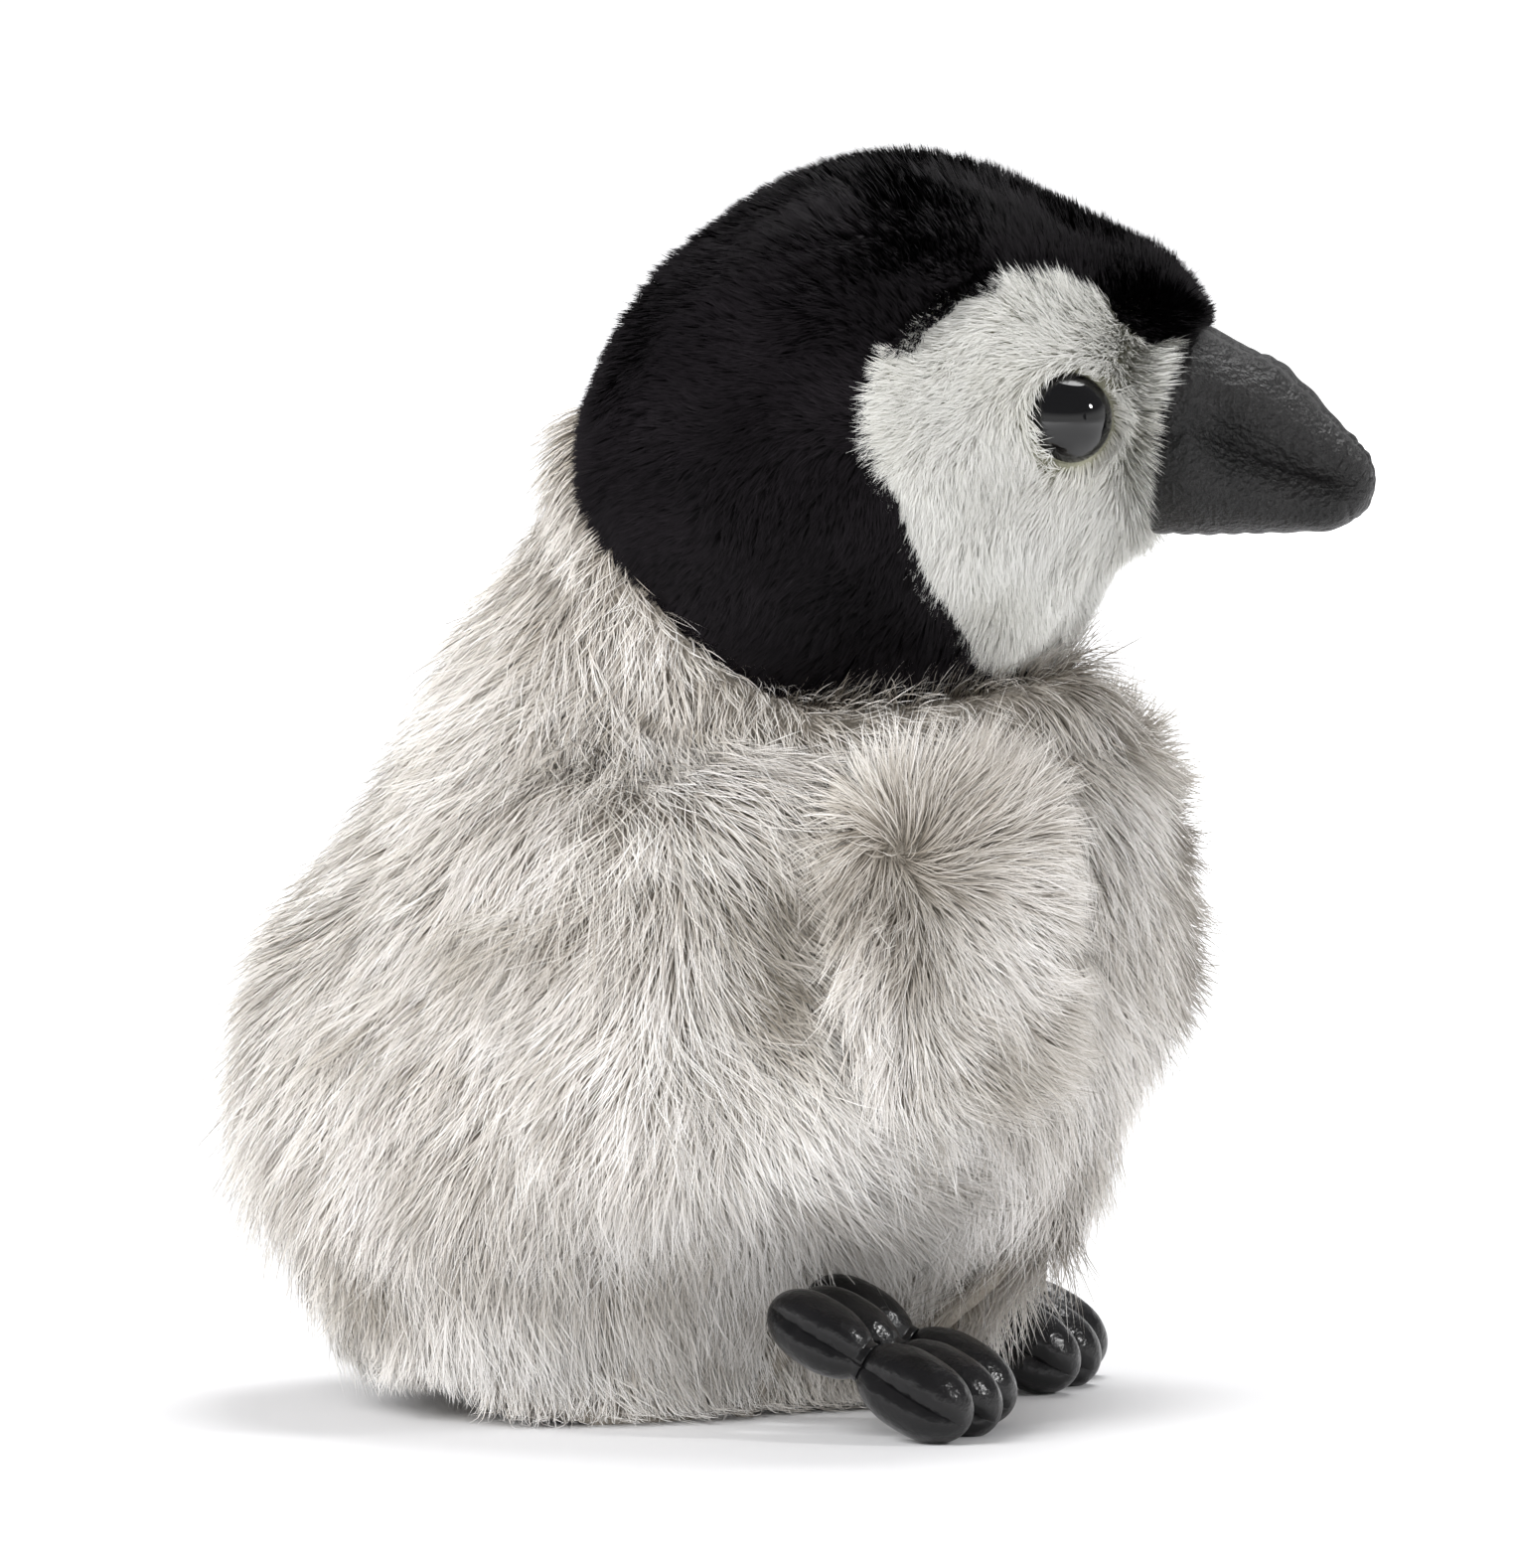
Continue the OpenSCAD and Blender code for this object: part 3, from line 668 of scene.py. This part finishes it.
# The white face's upper rim: middle and radius of its circle, seen from the side, in mm.
FACE_X, FACE_Z, FACE_R = 28, 104.2, 11.0


def head_shape(p):
    """Where the head is fuller or flatter than its two balls, in mm."""
    full = 2.0 * blob(folded(p), (-19, 12, 93), (10, 14, 13))
    full = full + 2.0 * blob(p, (41, 0, 106), (9, 13, 11))
    full += 1.5 * blob(p, (40, 0, 114), (8, 12, 7))
    flat = 1.5 * blob(p, (-7, 0, 122), (13, 40, 11)) + 0.9 * blob(p, (-17, 0, 112), (9, 40, 9))
    return full - flat - 3.0 * blob(p, (36, 0, 85), (9, 18, 8))


def in_socket(p):
    """True inside the hole that the beak is sewn into."""
    return (np.hypot(p[:, 1], p[:, 2] - BEAK_Z) < SOCKET_R) & (p[:, 0] > 36)


def head_lay(inset):
    """Lays points on the head's one smooth outside, set in under the pile."""

    def lay(p, _):
        ray = unit(p - HEAD)
        ahead = BROW - HEAD
        along = ray @ ahead
        brow = along + np.sqrt(np.maximum(along**2 - ahead @ ahead + BROW_R**2, 0))
        far = np.logaddexp(HEAD_R, brow)
        outside = HEAD + ray * far[:, None]
        return outside + ray * (head_shape(outside) - inset)[:, None]

    return lay


def hood_way(p, normal, rng):
    """The hood's pile leans back and down from the beak."""
    way = np.zeros_like(p)
    way[:, 0] = -0.8
    way[:, 2] = -0.55 - 0.4 * ease(110, 80, p[:, 2])
    way = combed(way, normal)
    turn = 0.5 * waves(p, 9, rng) + 0.3 * waves(p, 4, rng)
    return unit(way + turn[:, None] * np.cross(normal, way))


def eye_place(sign):
    """Middle of an eye's rim and its outward axis, from the CAD eye itself."""
    v, _ = cad_mesh("eye_left")
    far = np.linalg.norm(v - BROW, axis=1)
    axis = unit(v[far > far.max() - 1.0].mean(0) - BROW)
    return (BROW + axis * (far.max() - 1.8)) * (1, sign, 1), axis * (1, sign, 1)


def short_pile(
    name, surface, rng, *, way, density, long, lift, wide, tone, clump, clump_size, frizz,
    where=None, clear=None,
):
    """Short pile of the head, grown where where says and kept where clear says.

    It stands up straight next to the beak's root.
    """
    root, normal = grown(surface, density, rng)
    if where:
        chosen = where(root)
        root, normal = root[chosen], normal[chosen]
    lie = way(root, normal, rng)
    length = long(root) * rng.uniform(0.75, 1.12, len(root))
    spread = 8 * waves(root, 6, rng)
    stand = ease(16, 10, np.hypot(root[:, 1], root[:, 2] - BEAK_Z)) * ease(34, 38, root[:, 0])
    first, last = (a + spread + (78 - a) * stand for a in lift)
    line = strand_lines(root, normal, lie, length, (first, last), 2, rng, frizz, clump, clump_size)
    if clear:
        ok = clear(line)
        line, root, normal = line[ok], root[ok], normal[ok]
    width = rng.uniform(*wide, len(root))
    return strand_mesh(name, line, normal, width, tone(root, rng), rng)


def hood_tone(p, rng):
    """Shades of the black pile, with a bright strand now and then as a painted glint."""
    shade = 0.45 + 0.14 * waves(p, 6, rng) + rng.normal(0, 0.16, len(p))
    # Painted glints: about one strand in seventy is made brighter.
    return shade + 0.5 * (rng.random(len(p)) > 0.985)


filled, faces = cad_mesh("head_stuffing")
pressed = head_lay(FILL_DEEP)(filled, None)
over = np.linalg.norm(pressed - HEAD, axis=1) < np.linalg.norm(filled - HEAD, axis=1)
filling = mesh_object("head_filling", np.where(over[:, None], pressed, filled), faces)
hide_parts("head_stuffing")
dressed(filling, FILL, "head")

HOOD = {"hood_left": "hood_left", "hood_right": "hood_right", "crown": "crown_gusset"}
for number, (short, node) in enumerate(HOOD.items()):
    rng = np.random.default_rng(SEED + 20 + number)
    laid = head_lay(HOOD_DEEP)
    skin, surface = outer_skin(short + "_fabric", node, head_out, laid, 1, in_socket, HEAD_FACING)
    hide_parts(node)
    dressed(skin, BLACK_BACKING, "head")
    pile = short_pile(
        short + "_pile", surface, rng, way=hood_way, density=20, long=lambda p: 2.9 + 0.45 * waves(p, 8, rng),
        lift=(70, 46), wide=HOOD_WIDE, tone=hood_tone, clump=0.45, clump_size=30, frizz=0.1,
    )
    dressed(pile, HOOD_PILE, "head")


def face_way(p, normal, rng):
    """The face's pile runs back and down, and parts round the eye."""
    q = folded(p)
    eye, _ = eye_place(1)
    way = np.zeros_like(p)
    way[:, 0] = -0.75
    way[:, 2] = -0.65 + 0.35 * ease(103, 112, p[:, 2])
    away = q - eye
    near = ease(7.5, 4.2, np.linalg.norm(away, axis=1))
    closing = np.maximum(ease(0.5, -3, away[:, 0]), 0.85 * ease(1, 4, away[:, 2]))
    side = np.stack([np.ones(len(p)), np.sign(p[:, 1]), np.ones(len(p))], axis=1)
    away = unit(away) * (1 - 1.9 * closing)[:, None] * side
    way = combed(way * (1 - near)[:, None] + near[:, None] * away, normal)
    turn = 0.35 * waves(p, 8, rng) + 0.2 * waves(p, 3.5, rng)
    return unit(way + turn[:, None] * np.cross(normal, way))


def over_beak(p):
    """True where the crown's black is combed over the white: over the beak's root and the face's rim."""
    strip = (np.abs(p[:, 1]) < 3.0 + 0.9 * (p[:, 2] - 106)) & (p[:, 2] > 106) & (p[:, 0] > 36)
    edge = FACE_R + 0.35 * waves(p, 3, np.random.default_rng(SEED + 31))
    rim = (np.hypot(p[:, 0] - FACE_X, p[:, 2] - FACE_Z) > edge) & (p[:, 2] > 109)
    return strip | rim


# Free radius round an eye's axis, then the ball over the eye that no strand enters: drop and radius, in mm.
EYE_ROOM, EYE_DROP, EYE_R = 4.3, 2.8, 4.9


def eye_opening(sign):
    """Test that keeps strands out of an eye's opening, which closes in a little behind and above it."""
    eye, axis = eye_place(sign)

    def clear(line):
        rel = line - eye
        high = rel @ axis
        flat = rel - high[..., None] * axis
        across = np.linalg.norm(flat, axis=2)
        rear = ease(0, -3, flat[..., 0])
        top = ease(1, 4, flat[..., 2])
        room = EYE_ROOM - 2.6 * np.maximum(rear, 0.55 * top)
        dome = across**2 + (high + EYE_DROP) ** 2 < EYE_R**2
        return ((across > room) & ~dome).all(1)

    return clear


def face_tone(p, rng):
    """Shades of the white pile, with painted shade just below the eye's dome."""
    q = folded(p)
    eye, _ = eye_place(1)
    # Painted shade under the eye.
    shade = 0.3 * blob(q, eye + (1.5, -1, -5.0), (3, 4, 2.5))
    return 0.58 - shade + 0.07 * waves(p, 7, rng) + rng.normal(0, 0.1, len(p))


for side, sign in SIDES.items():
    rng = np.random.default_rng(SEED + 30 + sign)
    node = "face_patch_" + side
    laid = head_lay(FACE_DEEP)
    skin, surface = outer_skin(node + "_fabric", node, head_out, laid, 1, in_socket, HEAD_FACING)
    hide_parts(node)
    dressed(skin, FACE_BACKING_SHADE, "head")
    pile = short_pile(
        node + "_pile", surface, rng, way=face_way, density=40, long=lambda p: 3.2 + 0.4 * waves(p, 7, rng),
        lift=(60, 26), wide=FACE_WIDE, tone=face_tone, clump=0.3, clump_size=30, frizz=0.14,
        where=lambda p: ~over_beak(p), clear=eye_opening(sign),
    )
    dressed(pile, FACE_PILE, "head")
    tip = short_pile(
        "crown_tip_pile_" + side, surface, rng, way=hood_way, density=50,
        long=lambda p: 2.9 + 0.3 * waves(p, 6, rng), lift=(70, 50), wide=HOOD_WIDE, tone=hood_tone,
        clump=0.4, clump_size=20, frizz=0.12, where=over_beak,
    )
    dressed(tip, HOOD_PILE, "head")


# ---------------------------------------------------------------- wings
# Middle of the wing's whorl, forward and up from its hinge, in mm.
WHORL = (-6.0, -9.5)
# How much shorter the pile is along the wing's front edge.
FRONT_CROP = {"left": 0.6, "right": 0.3}
OUTER_DENSITY, LINING_DENSITY = 12, 5


def wing_pile(name, surface, side, rng, inner):
    """Pile of a wing: it radiates from a whorl near the shoulder, and on the lining it just hangs."""
    axes, hinge = wing_frame(side)
    root, normal = grown(surface, LINING_DENSITY if inner else OUTER_DENSITY, rng)
    local = (root - hinge) @ axes.T
    u, up = local[:, 0], local[:, 2]
    u_off, up_off = u - WHORL[0], up - WHORL[1]
    ray = np.stack([u_off, up_off], axis=1)
    near = ease(0, 6, np.linalg.norm(ray, axis=1))[:, None]
    ray = unit(ray) * near
    behind = ease(1, -3, u_off)
    ray[:, 0] *= 1 - 0.8 * behind
    ray += np.stack([0.5 * ease(-2, 3, u_off), -0.25 - 0.6 * behind], axis=1)
    if inner:
        ray = np.stack([np.zeros_like(u), -np.ones_like(u)], axis=1)
    way = combed(ray[:, :1] * axes[0] + ray[:, 1:] * axes[2], normal)
    whorl = np.exp(-((u_off / 4.5) ** 2 + (up_off / 5) ** 2))
    under = np.exp(-((u_off / 2.5) ** 2 + ((up_off + 6) / 5) ** 2))
    turn = (0.3 + 0.7 * whorl) * waves(root, 8, rng) + 0.35 * waves(root, 3, rng)
    way = unit(way + turn[:, None] * np.cross(normal, way))
    long = 5.0 if inner else 9.0 + waves(root, 9, rng)
    long = long * rng.uniform(0.5, 1.15, len(root)) * (1 - 0.3 * whorl)
    long *= 1 - FRONT_CROP[side] * ease(5, 11, u)
    first = (50 if inner else 66) + 8 * waves(root, 8, rng) + 14 * whorl
    last = (8 if inner else 18) + 10 * waves(root, 7, rng) + 20 * whorl
    line = strand_lines(root, normal, way, long, (first, last), 4, rng, frizz=0.17, clump=0.42, clump_size=14)
    tone = 0.64 + 0.12 * waves(root, 6, rng) + rng.normal(0, 0.12, len(root))
    tone = tone - 0.42 * np.maximum(0.7 * whorl, under)
    return strand_mesh(name, line, normal, rng.uniform(*PILE_WIDE, len(root)), tone, rng)


def tree_of(*nodes):
    """Ray tree of CAD nodes and their vertices, in mm."""
    solid, faces = joined([cad_mesh(n) for n in nodes])
    return BVHTree.FromPolygons([tuple(v) for v in solid], faces), solid


def grid_quads(rows, cols):
    """Faces of a grid of points, rows by cols."""
    at = np.arange(rows * cols).reshape(rows, cols)
    return np.stack([at[:-1, :-1], at[:-1, 1:], at[1:, 1:], at[1:, :-1]], axis=2).reshape(-1, 4)


def wing_skin(name, node, side, outward, puff):
    """Puffed fabric leaf whose outline is cast onto the CAD wing."""
    axes, _ = wing_frame(side)
    tree, solid = tree_of(node)
    middle = (solid.min(0) + solid.max(0)) / 2
    rings, spokes = 14, 48
    base = []
    for i in range(spokes):
        a = 2 * math.pi * i / spokes
        way = Vector(math.cos(a) * axes[0] + math.sin(a) * axes[2])
        hit = tree.ray_cast(Vector(middle) + way * 60, -way)[0]
        base.append(np.array(hit) - middle)
    base = np.array(base + base[:1])
    rho = np.sin(np.linspace(0, math.pi / 2, rings + 1))[:, None, None]
    grid = middle + base[None] * rho
    inner = (solid - middle) @ (axes[1] * outward)
    grid = grid + axes[1] * outward * (inner.min() + puff * np.sqrt(np.maximum(1 - rho**4, 0)))
    quads = grid_quads(rings + 1, spokes + 1)
    if outward * SIDES[side] > 0:
        quads = quads[:, ::-1]
    obj = mesh_object(name, grid.reshape(-1, 3), quads)
    obj.modifiers.new("weld", "WELD").merge_threshold = 0.02 * MM
    finished(obj)
    surface = arrays(obj.data)
    if (surface[1] @ (axes[1] * outward)).mean() < 0:
        obj.data.flip_normals()
        surface = arrays(obj.data)
    return thickened(obj, SHEET_THICK), surface


for side, sign in SIDES.items():
    rng = np.random.default_rng(SEED + 40 + sign)
    for node, inner in (("wing_outer_", False), ("wing_lining_", True)):
        outward, puff = (-1, 1.2) if inner else (1, 3.4)
        skin, surface = wing_skin(node + side + "_fabric", node + side, side, outward, puff)
        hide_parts(node + side)
        dressed(skin, GREY_BACKING, "wing_" + side)
        pile = wing_pile(node + side + "_pile", surface, side, rng, inner)
        dressed(pile, GREY_PILE, "wing_" + side)


# ---------------------------------------------------------------- beak
def beak_grid(rows, cols):
    """Rays cast inward onto the CAD beak's left half, from its root over its tip: the points that they hit."""
    tree, solid = tree_of("beak_left", "beak_right")
    back, front = solid[:, 0].min() + 0.2, solid[:, 0].max() - 4.6
    grid = np.empty((rows + 1, cols + 1, 3))
    for i in range(rows + 1):
        s = i / rows
        run = min(s / 0.72, 1)
        beta = max(0.0, (s - 0.5) / 0.5) ** 1.3 * 90
        drop = 4.6 * ease(0.25, 1.0, np.array(run))
        middle = Vector((back + (front - back) * run, 0.06, BEAK_Z - drop))
        for j in range(cols + 1):
            a = math.pi * j / cols
            radial = Vector((0, math.sin(a), math.cos(a)))
            d = radial * math.cos(math.radians(beta)) + Vector((1, 0, -0.12)) * math.sin(math.radians(beta))
            d.normalize()
            hit = tree.ray_cast(middle + d * 40, -d)[0]
            grid[i, j] = hit if hit else (math.nan,) * 3
    for i in [*range(rows - 1, -1, -1), *range(1, rows + 1)]:
        beside = i + 1 if i < rows and not np.isnan(grid[i + 1]).all() else i - 1
        lost = np.isnan(grid[i, :, 0]) & ~np.isnan(grid[beside, :, 0])
        grid[i, lost] = grid[beside, lost]
    return grid


def beak_push(u, a):
    """How far the leatherette stands out, in mm, at u from root to tip and a round from the ridge."""
    push = -2.8 * bell(a - 1.3 - 0.35 * u, 0.4) * ease(0.08, 0.4, u) * ease(0.95, 0.6, u)
    push = push - 1.1 * bell(a, 0.8) * bell(u - 0.42, 0.22)
    push = push + 0.6 * bell(a - 2.25, 0.45) * ease(0, 0.3, u) * ease(0.95, 0.6, u)
    pucker = bell(a, 0.6) * ease(0.25, 0.6, u) * ease(1.0, 0.9, u)
    push = push - 0.5 * bell(a, 0.16) + 0.16 * pucker * np.sin(u * 95 + 2.2 * np.sin(a * 3))
    push = push + 0.1 * pucker * np.sin(u * 53 + 1)
    push = push - 0.5 * bell(a - math.pi, 0.13)
    push = push + 0.1 * bell(a - math.pi, 0.5) * np.sin(u * 60)
    crease = bell(a - 0.9 - 0.35 * np.sin(u * 9), 0.5) * ease(0.35, 0.6, u)
    push = push + 0.09 * crease * np.sin(u * 120 + 5 * a)
    return push - 0.45 * bell(u - 0.80 - 0.05 * np.cos(a), 0.02) * ease(1.9, 2.6, a)


def beak_half(side, filling=False):
    """One half of the beak's cover, creased, puckered and seamed; or the grid of its filling."""
    sign = SIDES[side]
    rows, cols = 64, 44
    grid = beak_grid(rows, cols)
    u = np.linspace(0, 1, rows + 1)[:, None]
    a = np.linspace(0, math.pi, cols + 1)[None, :]
    du, da = np.gradient(grid, axis=0), np.gradient(grid, axis=1)
    out = unit(np.cross(da, du))
    flip = np.sign((out[rows // 2, cols // 2] * (0, 1, 0)).sum()) or 1
    out *= flip
    grid = grid + out * (beak_push(u, a) - (1.2 if filling else 0.05))[..., None]
    seam = 0.0 if filling else 0.04
    grid[:, :, 1] = np.maximum(grid[:, :, 1], seam)
    grid[:, (0, -1), 1] = seam
    grid[:, :, 1] *= sign
    quads = grid_quads(*grid.shape[:2])
    if sign * flip > 0:
        quads = quads[:, ::-1]
    if filling:
        return grid.reshape(-1, 3), quads
    obj = mesh_object("beak_cover_" + side, grid.reshape(-1, 3), quads)
    obj.modifiers.new("smooth", "SUBSURF").levels = 1
    return thickened(obj, LEATHER_THICK)


for side in SIDES:
    cover = beak_half(side)
    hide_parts("beak_" + side)
    dressed(cover, LEATHER, "head")
filling = mesh_object("beak_filling", *joined([beak_half(side, True) for side in SIDES]))
filling.modifiers.new("weld", "WELD").merge_threshold = 0.03 * MM
finished(filling)
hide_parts("beak_stuffing")
dressed(filling, FILL, "head")


# ---------------------------------------------------------------- feet
def lobe(s, start, long, wide):
    """Radius along a stuffed lobe."""
    u = np.clip((s - start) / long * 2 - 1, -1, 1)
    return wide * np.sqrt(np.maximum(1 - np.abs(u) ** 2.4, 0))


def on_toe(points, sign, k):
    """Points in a toe's own frame, put in the part's frame."""
    place = np.array(toe_frame(sign, k))
    return points @ place[:3, :3].T + place[:3, 3]


def toe_half(sign, k, upper):
    """Grid of one half of a toe: two stuffed lobes, a groove at the seam and a waist."""
    steps, turns = 72, 20
    long = TOE_REAR + TOE_FRONT
    s = long * (0.5 - 0.5 * np.cos(np.linspace(0, math.pi, steps + 1)))
    s = np.sort(np.concatenate([s, TOE_REAR + np.array([-0.8, -0.4, 0, 0.4, 0.8])]))
    radius = np.maximum(lobe(s, 0, TOE_REAR, TOE_REAR_R), lobe(s, TOE_REAR, TOE_FRONT, TOE_FRONT_R))
    radius = np.maximum(radius, np.where(np.abs(s - TOE_REAR) < 1.2, WAIST_R, 0))
    radius[0] = radius[-1] = 0
    a = np.linspace(0, math.pi, turns + 1)[None, :]
    r = radius[:, None]
    groove = 0.32 * (bell(a, 0.3) + bell(a - math.pi, 0.3))
    inside = ease(0, 0.8, s)[:, None] * ease(long, long - 0.8, s)[:, None]
    waist = bell(s - TOE_REAR, 1.0)[:, None]
    r = r * (1 - groove * inside * (1 - waist))
    pucker = np.sin(s[:, None] * math.pi) * bell(np.minimum(a, math.pi - a), 0.5)
    r = r + 0.07 * pucker * (r > 1.5)
    r = r - 0.12 * bell(np.abs(s[:, None] - TOE_REAR) - 2.4, 1.0) * (np.sin(a * 6) ** 2)
    y = r * np.cos(a)
    z = r * np.sin(a) * (1 if upper else -1)
    grid = on_toe(np.stack([np.broadcast_to(s[:, None], y.shape), y, z], axis=2), sign, k)
    quads = grid_quads(*grid.shape[:2])
    return grid.reshape(-1, 3), quads[:, ::-1] if upper else quads


def tube(path, radius, around=8):
    """Round tube along a path, with narrowed ends."""
    path = np.asarray(path, float)
    ahead = unit(np.gradient(path, axis=0))
    side = unit(np.cross(ahead, (0.31, 0.22, 0.92)))
    up = np.cross(ahead, side)
    thick = np.full(len(path), radius)
    thick[0] = thick[-1] = radius * 0.45
    angle = np.linspace(0, 2 * math.pi, around, endpoint=False)
    ring = np.cos(angle)[None, :, None] * side[:, None] + np.sin(angle)[None, :, None] * up[:, None]
    verts = (path[:, None] + ring * thick[:, None, None]).reshape(-1, 3)
    rows = len(path)
    faces = []
    for i in range(rows - 1):
        for j in range(around):
            a, b = i * around, (i + 1) * around
            faces.append((a + j, a + (j + 1) % around, b + (j + 1) % around, b + j))
    faces.append(tuple(range(around))[::-1])
    faces.append(tuple((rows - 1) * around + j for j in range(around)))
    return verts, faces


def tie(sign, k):
    """Thread wound round a toe's waist."""
    turns, steps = 5, 150
    t = np.linspace(0, 1, steps)
    a = t * turns * 2 * math.pi
    r = WAIST_R + 0.2 + 0.05 * np.sin(a * 0.37)
    x = TOE_REAR - 0.55 + 1.1 * t + 0.1 * np.sin(a * 0.5)
    path = np.stack([x, r * np.cos(a), r * np.sin(a)], axis=1)
    return tube(on_toe(path, sign, k), 0.17)


STITCH_LONG = 1.5


def stitches(sign, k):
    """Stitches along both sides of a toe's front seam."""
    made = []
    for way in (-1, 1):
        for i in range(4):
            at = TOE_REAR + 2.2 + 2.3 * i
            s = np.linspace(at, at + STITCH_LONG, 6)
            arch = 0.25 * np.sin(np.linspace(0, math.pi, 6))
            r = lobe(s, TOE_REAR, TOE_FRONT, TOE_FRONT_R) * 0.72 + arch
            path = np.stack([s, way * r, 0.12 * np.sin(s * 5)], axis=1)
            made.append(tube(on_toe(path, sign, k), 0.16, 6))
    return made


for side, sign in SIDES.items():
    body = "foot_" + side
    for half_name, upper in (("upper", True), ("sole", False)):
        halves = joined([toe_half(sign, k, upper) for k in TOES])
        obj = thickened(mesh_object(f"foot_{half_name}_{side}_cover", *halves), SHEET_THICK)
        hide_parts(f"foot_{half_name}_{side}")
        dressed(obj, GLOSSY, body)
    threads = mesh_object(f"toe_thread_{side}", *joined([tie(sign, k) for k in TOES]))
    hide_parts("toe_ties_" + side)
    dressed(threads, THREAD, body)
    seams = mesh_object(f"toe_stitches_{side}", *joined([s for k in TOES for s in stitches(sign, k)]))
    dressed(seams, THREAD, body)


def soft_sheet(name, node, depth, size, material, body):
    """A small CAD cloth piece as it lies when sewn: finer, with soft waves set in from its faces."""
    rng = np.random.default_rng(SEED + 80)
    obj = mesh_object(name, *cad_mesh(node))
    detail = obj.modifiers.new("finer", "SUBSURF")
    detail.subdivision_type = "SIMPLE"
    detail.levels = 2
    finished(obj)
    co, normal, _ = arrays(obj.data)
    moved(obj, co - normal * (depth * (1 + waves(co, size, rng) / 3))[:, None])
    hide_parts(node)
    dressed(obj, material, body)


soft_sheet("base_cloth", "base_panel", 0.25, 9, LINING, "torso")
for side in SIDES:
    soft_sheet("toe_web_" + side, "foot_web_" + side, 0.12, 3, GLOSSY, "foot_" + side)

# ---------------------------------------------------------------- carried-over nodes
CARRIED = {
    "neck_stuffing": FILL, "toe_stuffing_left": FILL, "toe_stuffing_right": FILL,
    "pellet_pouch": POUCH, "pellets": PELLETS,
    "eye_left": EYE, "eye_right": EYE, "eye_washer_left": WASHER, "eye_washer_right": WASHER,
}
for node, material in CARRIED.items():
    data = frame["nodes"][node].data
    data.materials.clear()
    data.materials.append(material)


# ---------------------------------------------------------------- studio
FLOOR_HALF = 4000


def stage_floor():
    """Wide pale floor, which glows a little far from the toy so that it melts into the backdrop."""
    wide = FLOOR_HALF
    corners = [(-wide, -wide, 0), (wide, -wide, 0), (wide, wide, 0), (-wide, wide, 0)]
    obj = mesh_object("floor", corners, [(0, 1, 2, 3)])
    pale = (tint(234, 234, 235), tint(238, 238, 239))
    material = surface_material("studio_floor", pale, 3, 0.9, specular=0.2)
    tree = material.node_tree
    shader = tree.nodes["Principled BSDF"]
    place = tree.nodes.new("ShaderNodeTexCoord")
    far = tree.nodes.new("ShaderNodeVectorMath")
    far.operation = "LENGTH"
    tree.links.new(place.outputs["Object"], far.inputs[0])
    stops = [(0.16, (0, 0, 0, 1)), (0.5, (0.55, 0.55, 0.56, 1)), (1.0, (0.8, 0.8, 0.8, 1))]
    glow = ramp(tree, far.outputs["Value"], stops)
    tree.links.new(glow, shader.inputs["Emission Color"])
    shader.inputs["Emission Strength"].default_value = 1.0
    dressed(obj, material)


def area_light(name, at, aim, size, power, mirrored=True):
    """Round soft box pointed at a spot, in mm and watts; mirrored says if glossy pieces show it."""
    data = bpy.data.lights.new(name, "AREA")
    data.shape = "DISK"
    data.size = size * MM
    data.energy = power
    obj = bpy.data.objects.new(name, data)
    obj.location = Vector(at) * MM
    obj.visible_glossy = mirrored
    obj.rotation_euler = (Vector(aim) - Vector(at)).to_track_quat("-Z", "Y").to_euler()
    bpy.context.scene.collection.objects.link(obj)


stage_floor()
world = bpy.data.worlds.new("studio")
bpy.context.scene.world = world
world.use_nodes = True
tree = world.node_tree
backdrop = tree.nodes["Background"]
way = tree.nodes.new("ShaderNodeTexCoord")
split = tree.nodes.new("ShaderNodeSeparateXYZ")
tree.links.new(way.outputs["Generated"], split.inputs["Vector"])
LOW_GREY, HIGH_GREY = (0.22, 0.22, 0.23, 1), (0.2, 0.2, 0.21, 1)
sky = ramp(tree, split.outputs["Z"], [(0.0, WHITE), (0.12, WHITE), (0.3, LOW_GREY), (1.0, HIGH_GREY)])
tree.links.new(sky, backdrop.inputs["Color"])
backdrop.inputs["Strength"].default_value = 1.0
area_light("key", (-560, -700, 620), (0, 0, 60), 700, 12.2, False)
area_light("top", (60, 420, 950), (0, 0, 40), 700, 10.0)
area_light("fill", (150, -950, 140), (0, 0, 40), 500, 1.6, False)
area_light("front", (700, -60, 420), (20, 0, 90), 90, 2.0)

# The photo's view: from the right side, 13 degrees towards the front and 6 degrees up, from far away.
VIEW_TURN, VIEW_RISE, DISTANCE = math.radians(13), math.radians(6), 6000
SENSOR, FRAME_WIDE = 36, 157.8
AIM = Vector((-3.4, 0, 62.7))
level = math.cos(VIEW_RISE)
toward = Vector((math.sin(VIEW_TURN) * level, -math.cos(VIEW_TURN) * level, math.sin(VIEW_RISE)))
camera = bpy.data.objects.new("camera", bpy.data.cameras.new("camera"))
bpy.context.scene.collection.objects.link(camera)
camera.location = (AIM + toward * DISTANCE) * MM
camera.rotation_euler = (-toward).to_track_quat("-Z", "Y").to_euler()
camera.data.lens = SENSOR * DISTANCE / FRAME_WIDE
camera.data.clip_end = 20
bpy.context.scene.camera = camera
bpy.context.scene.view_settings.view_transform = "Standard"
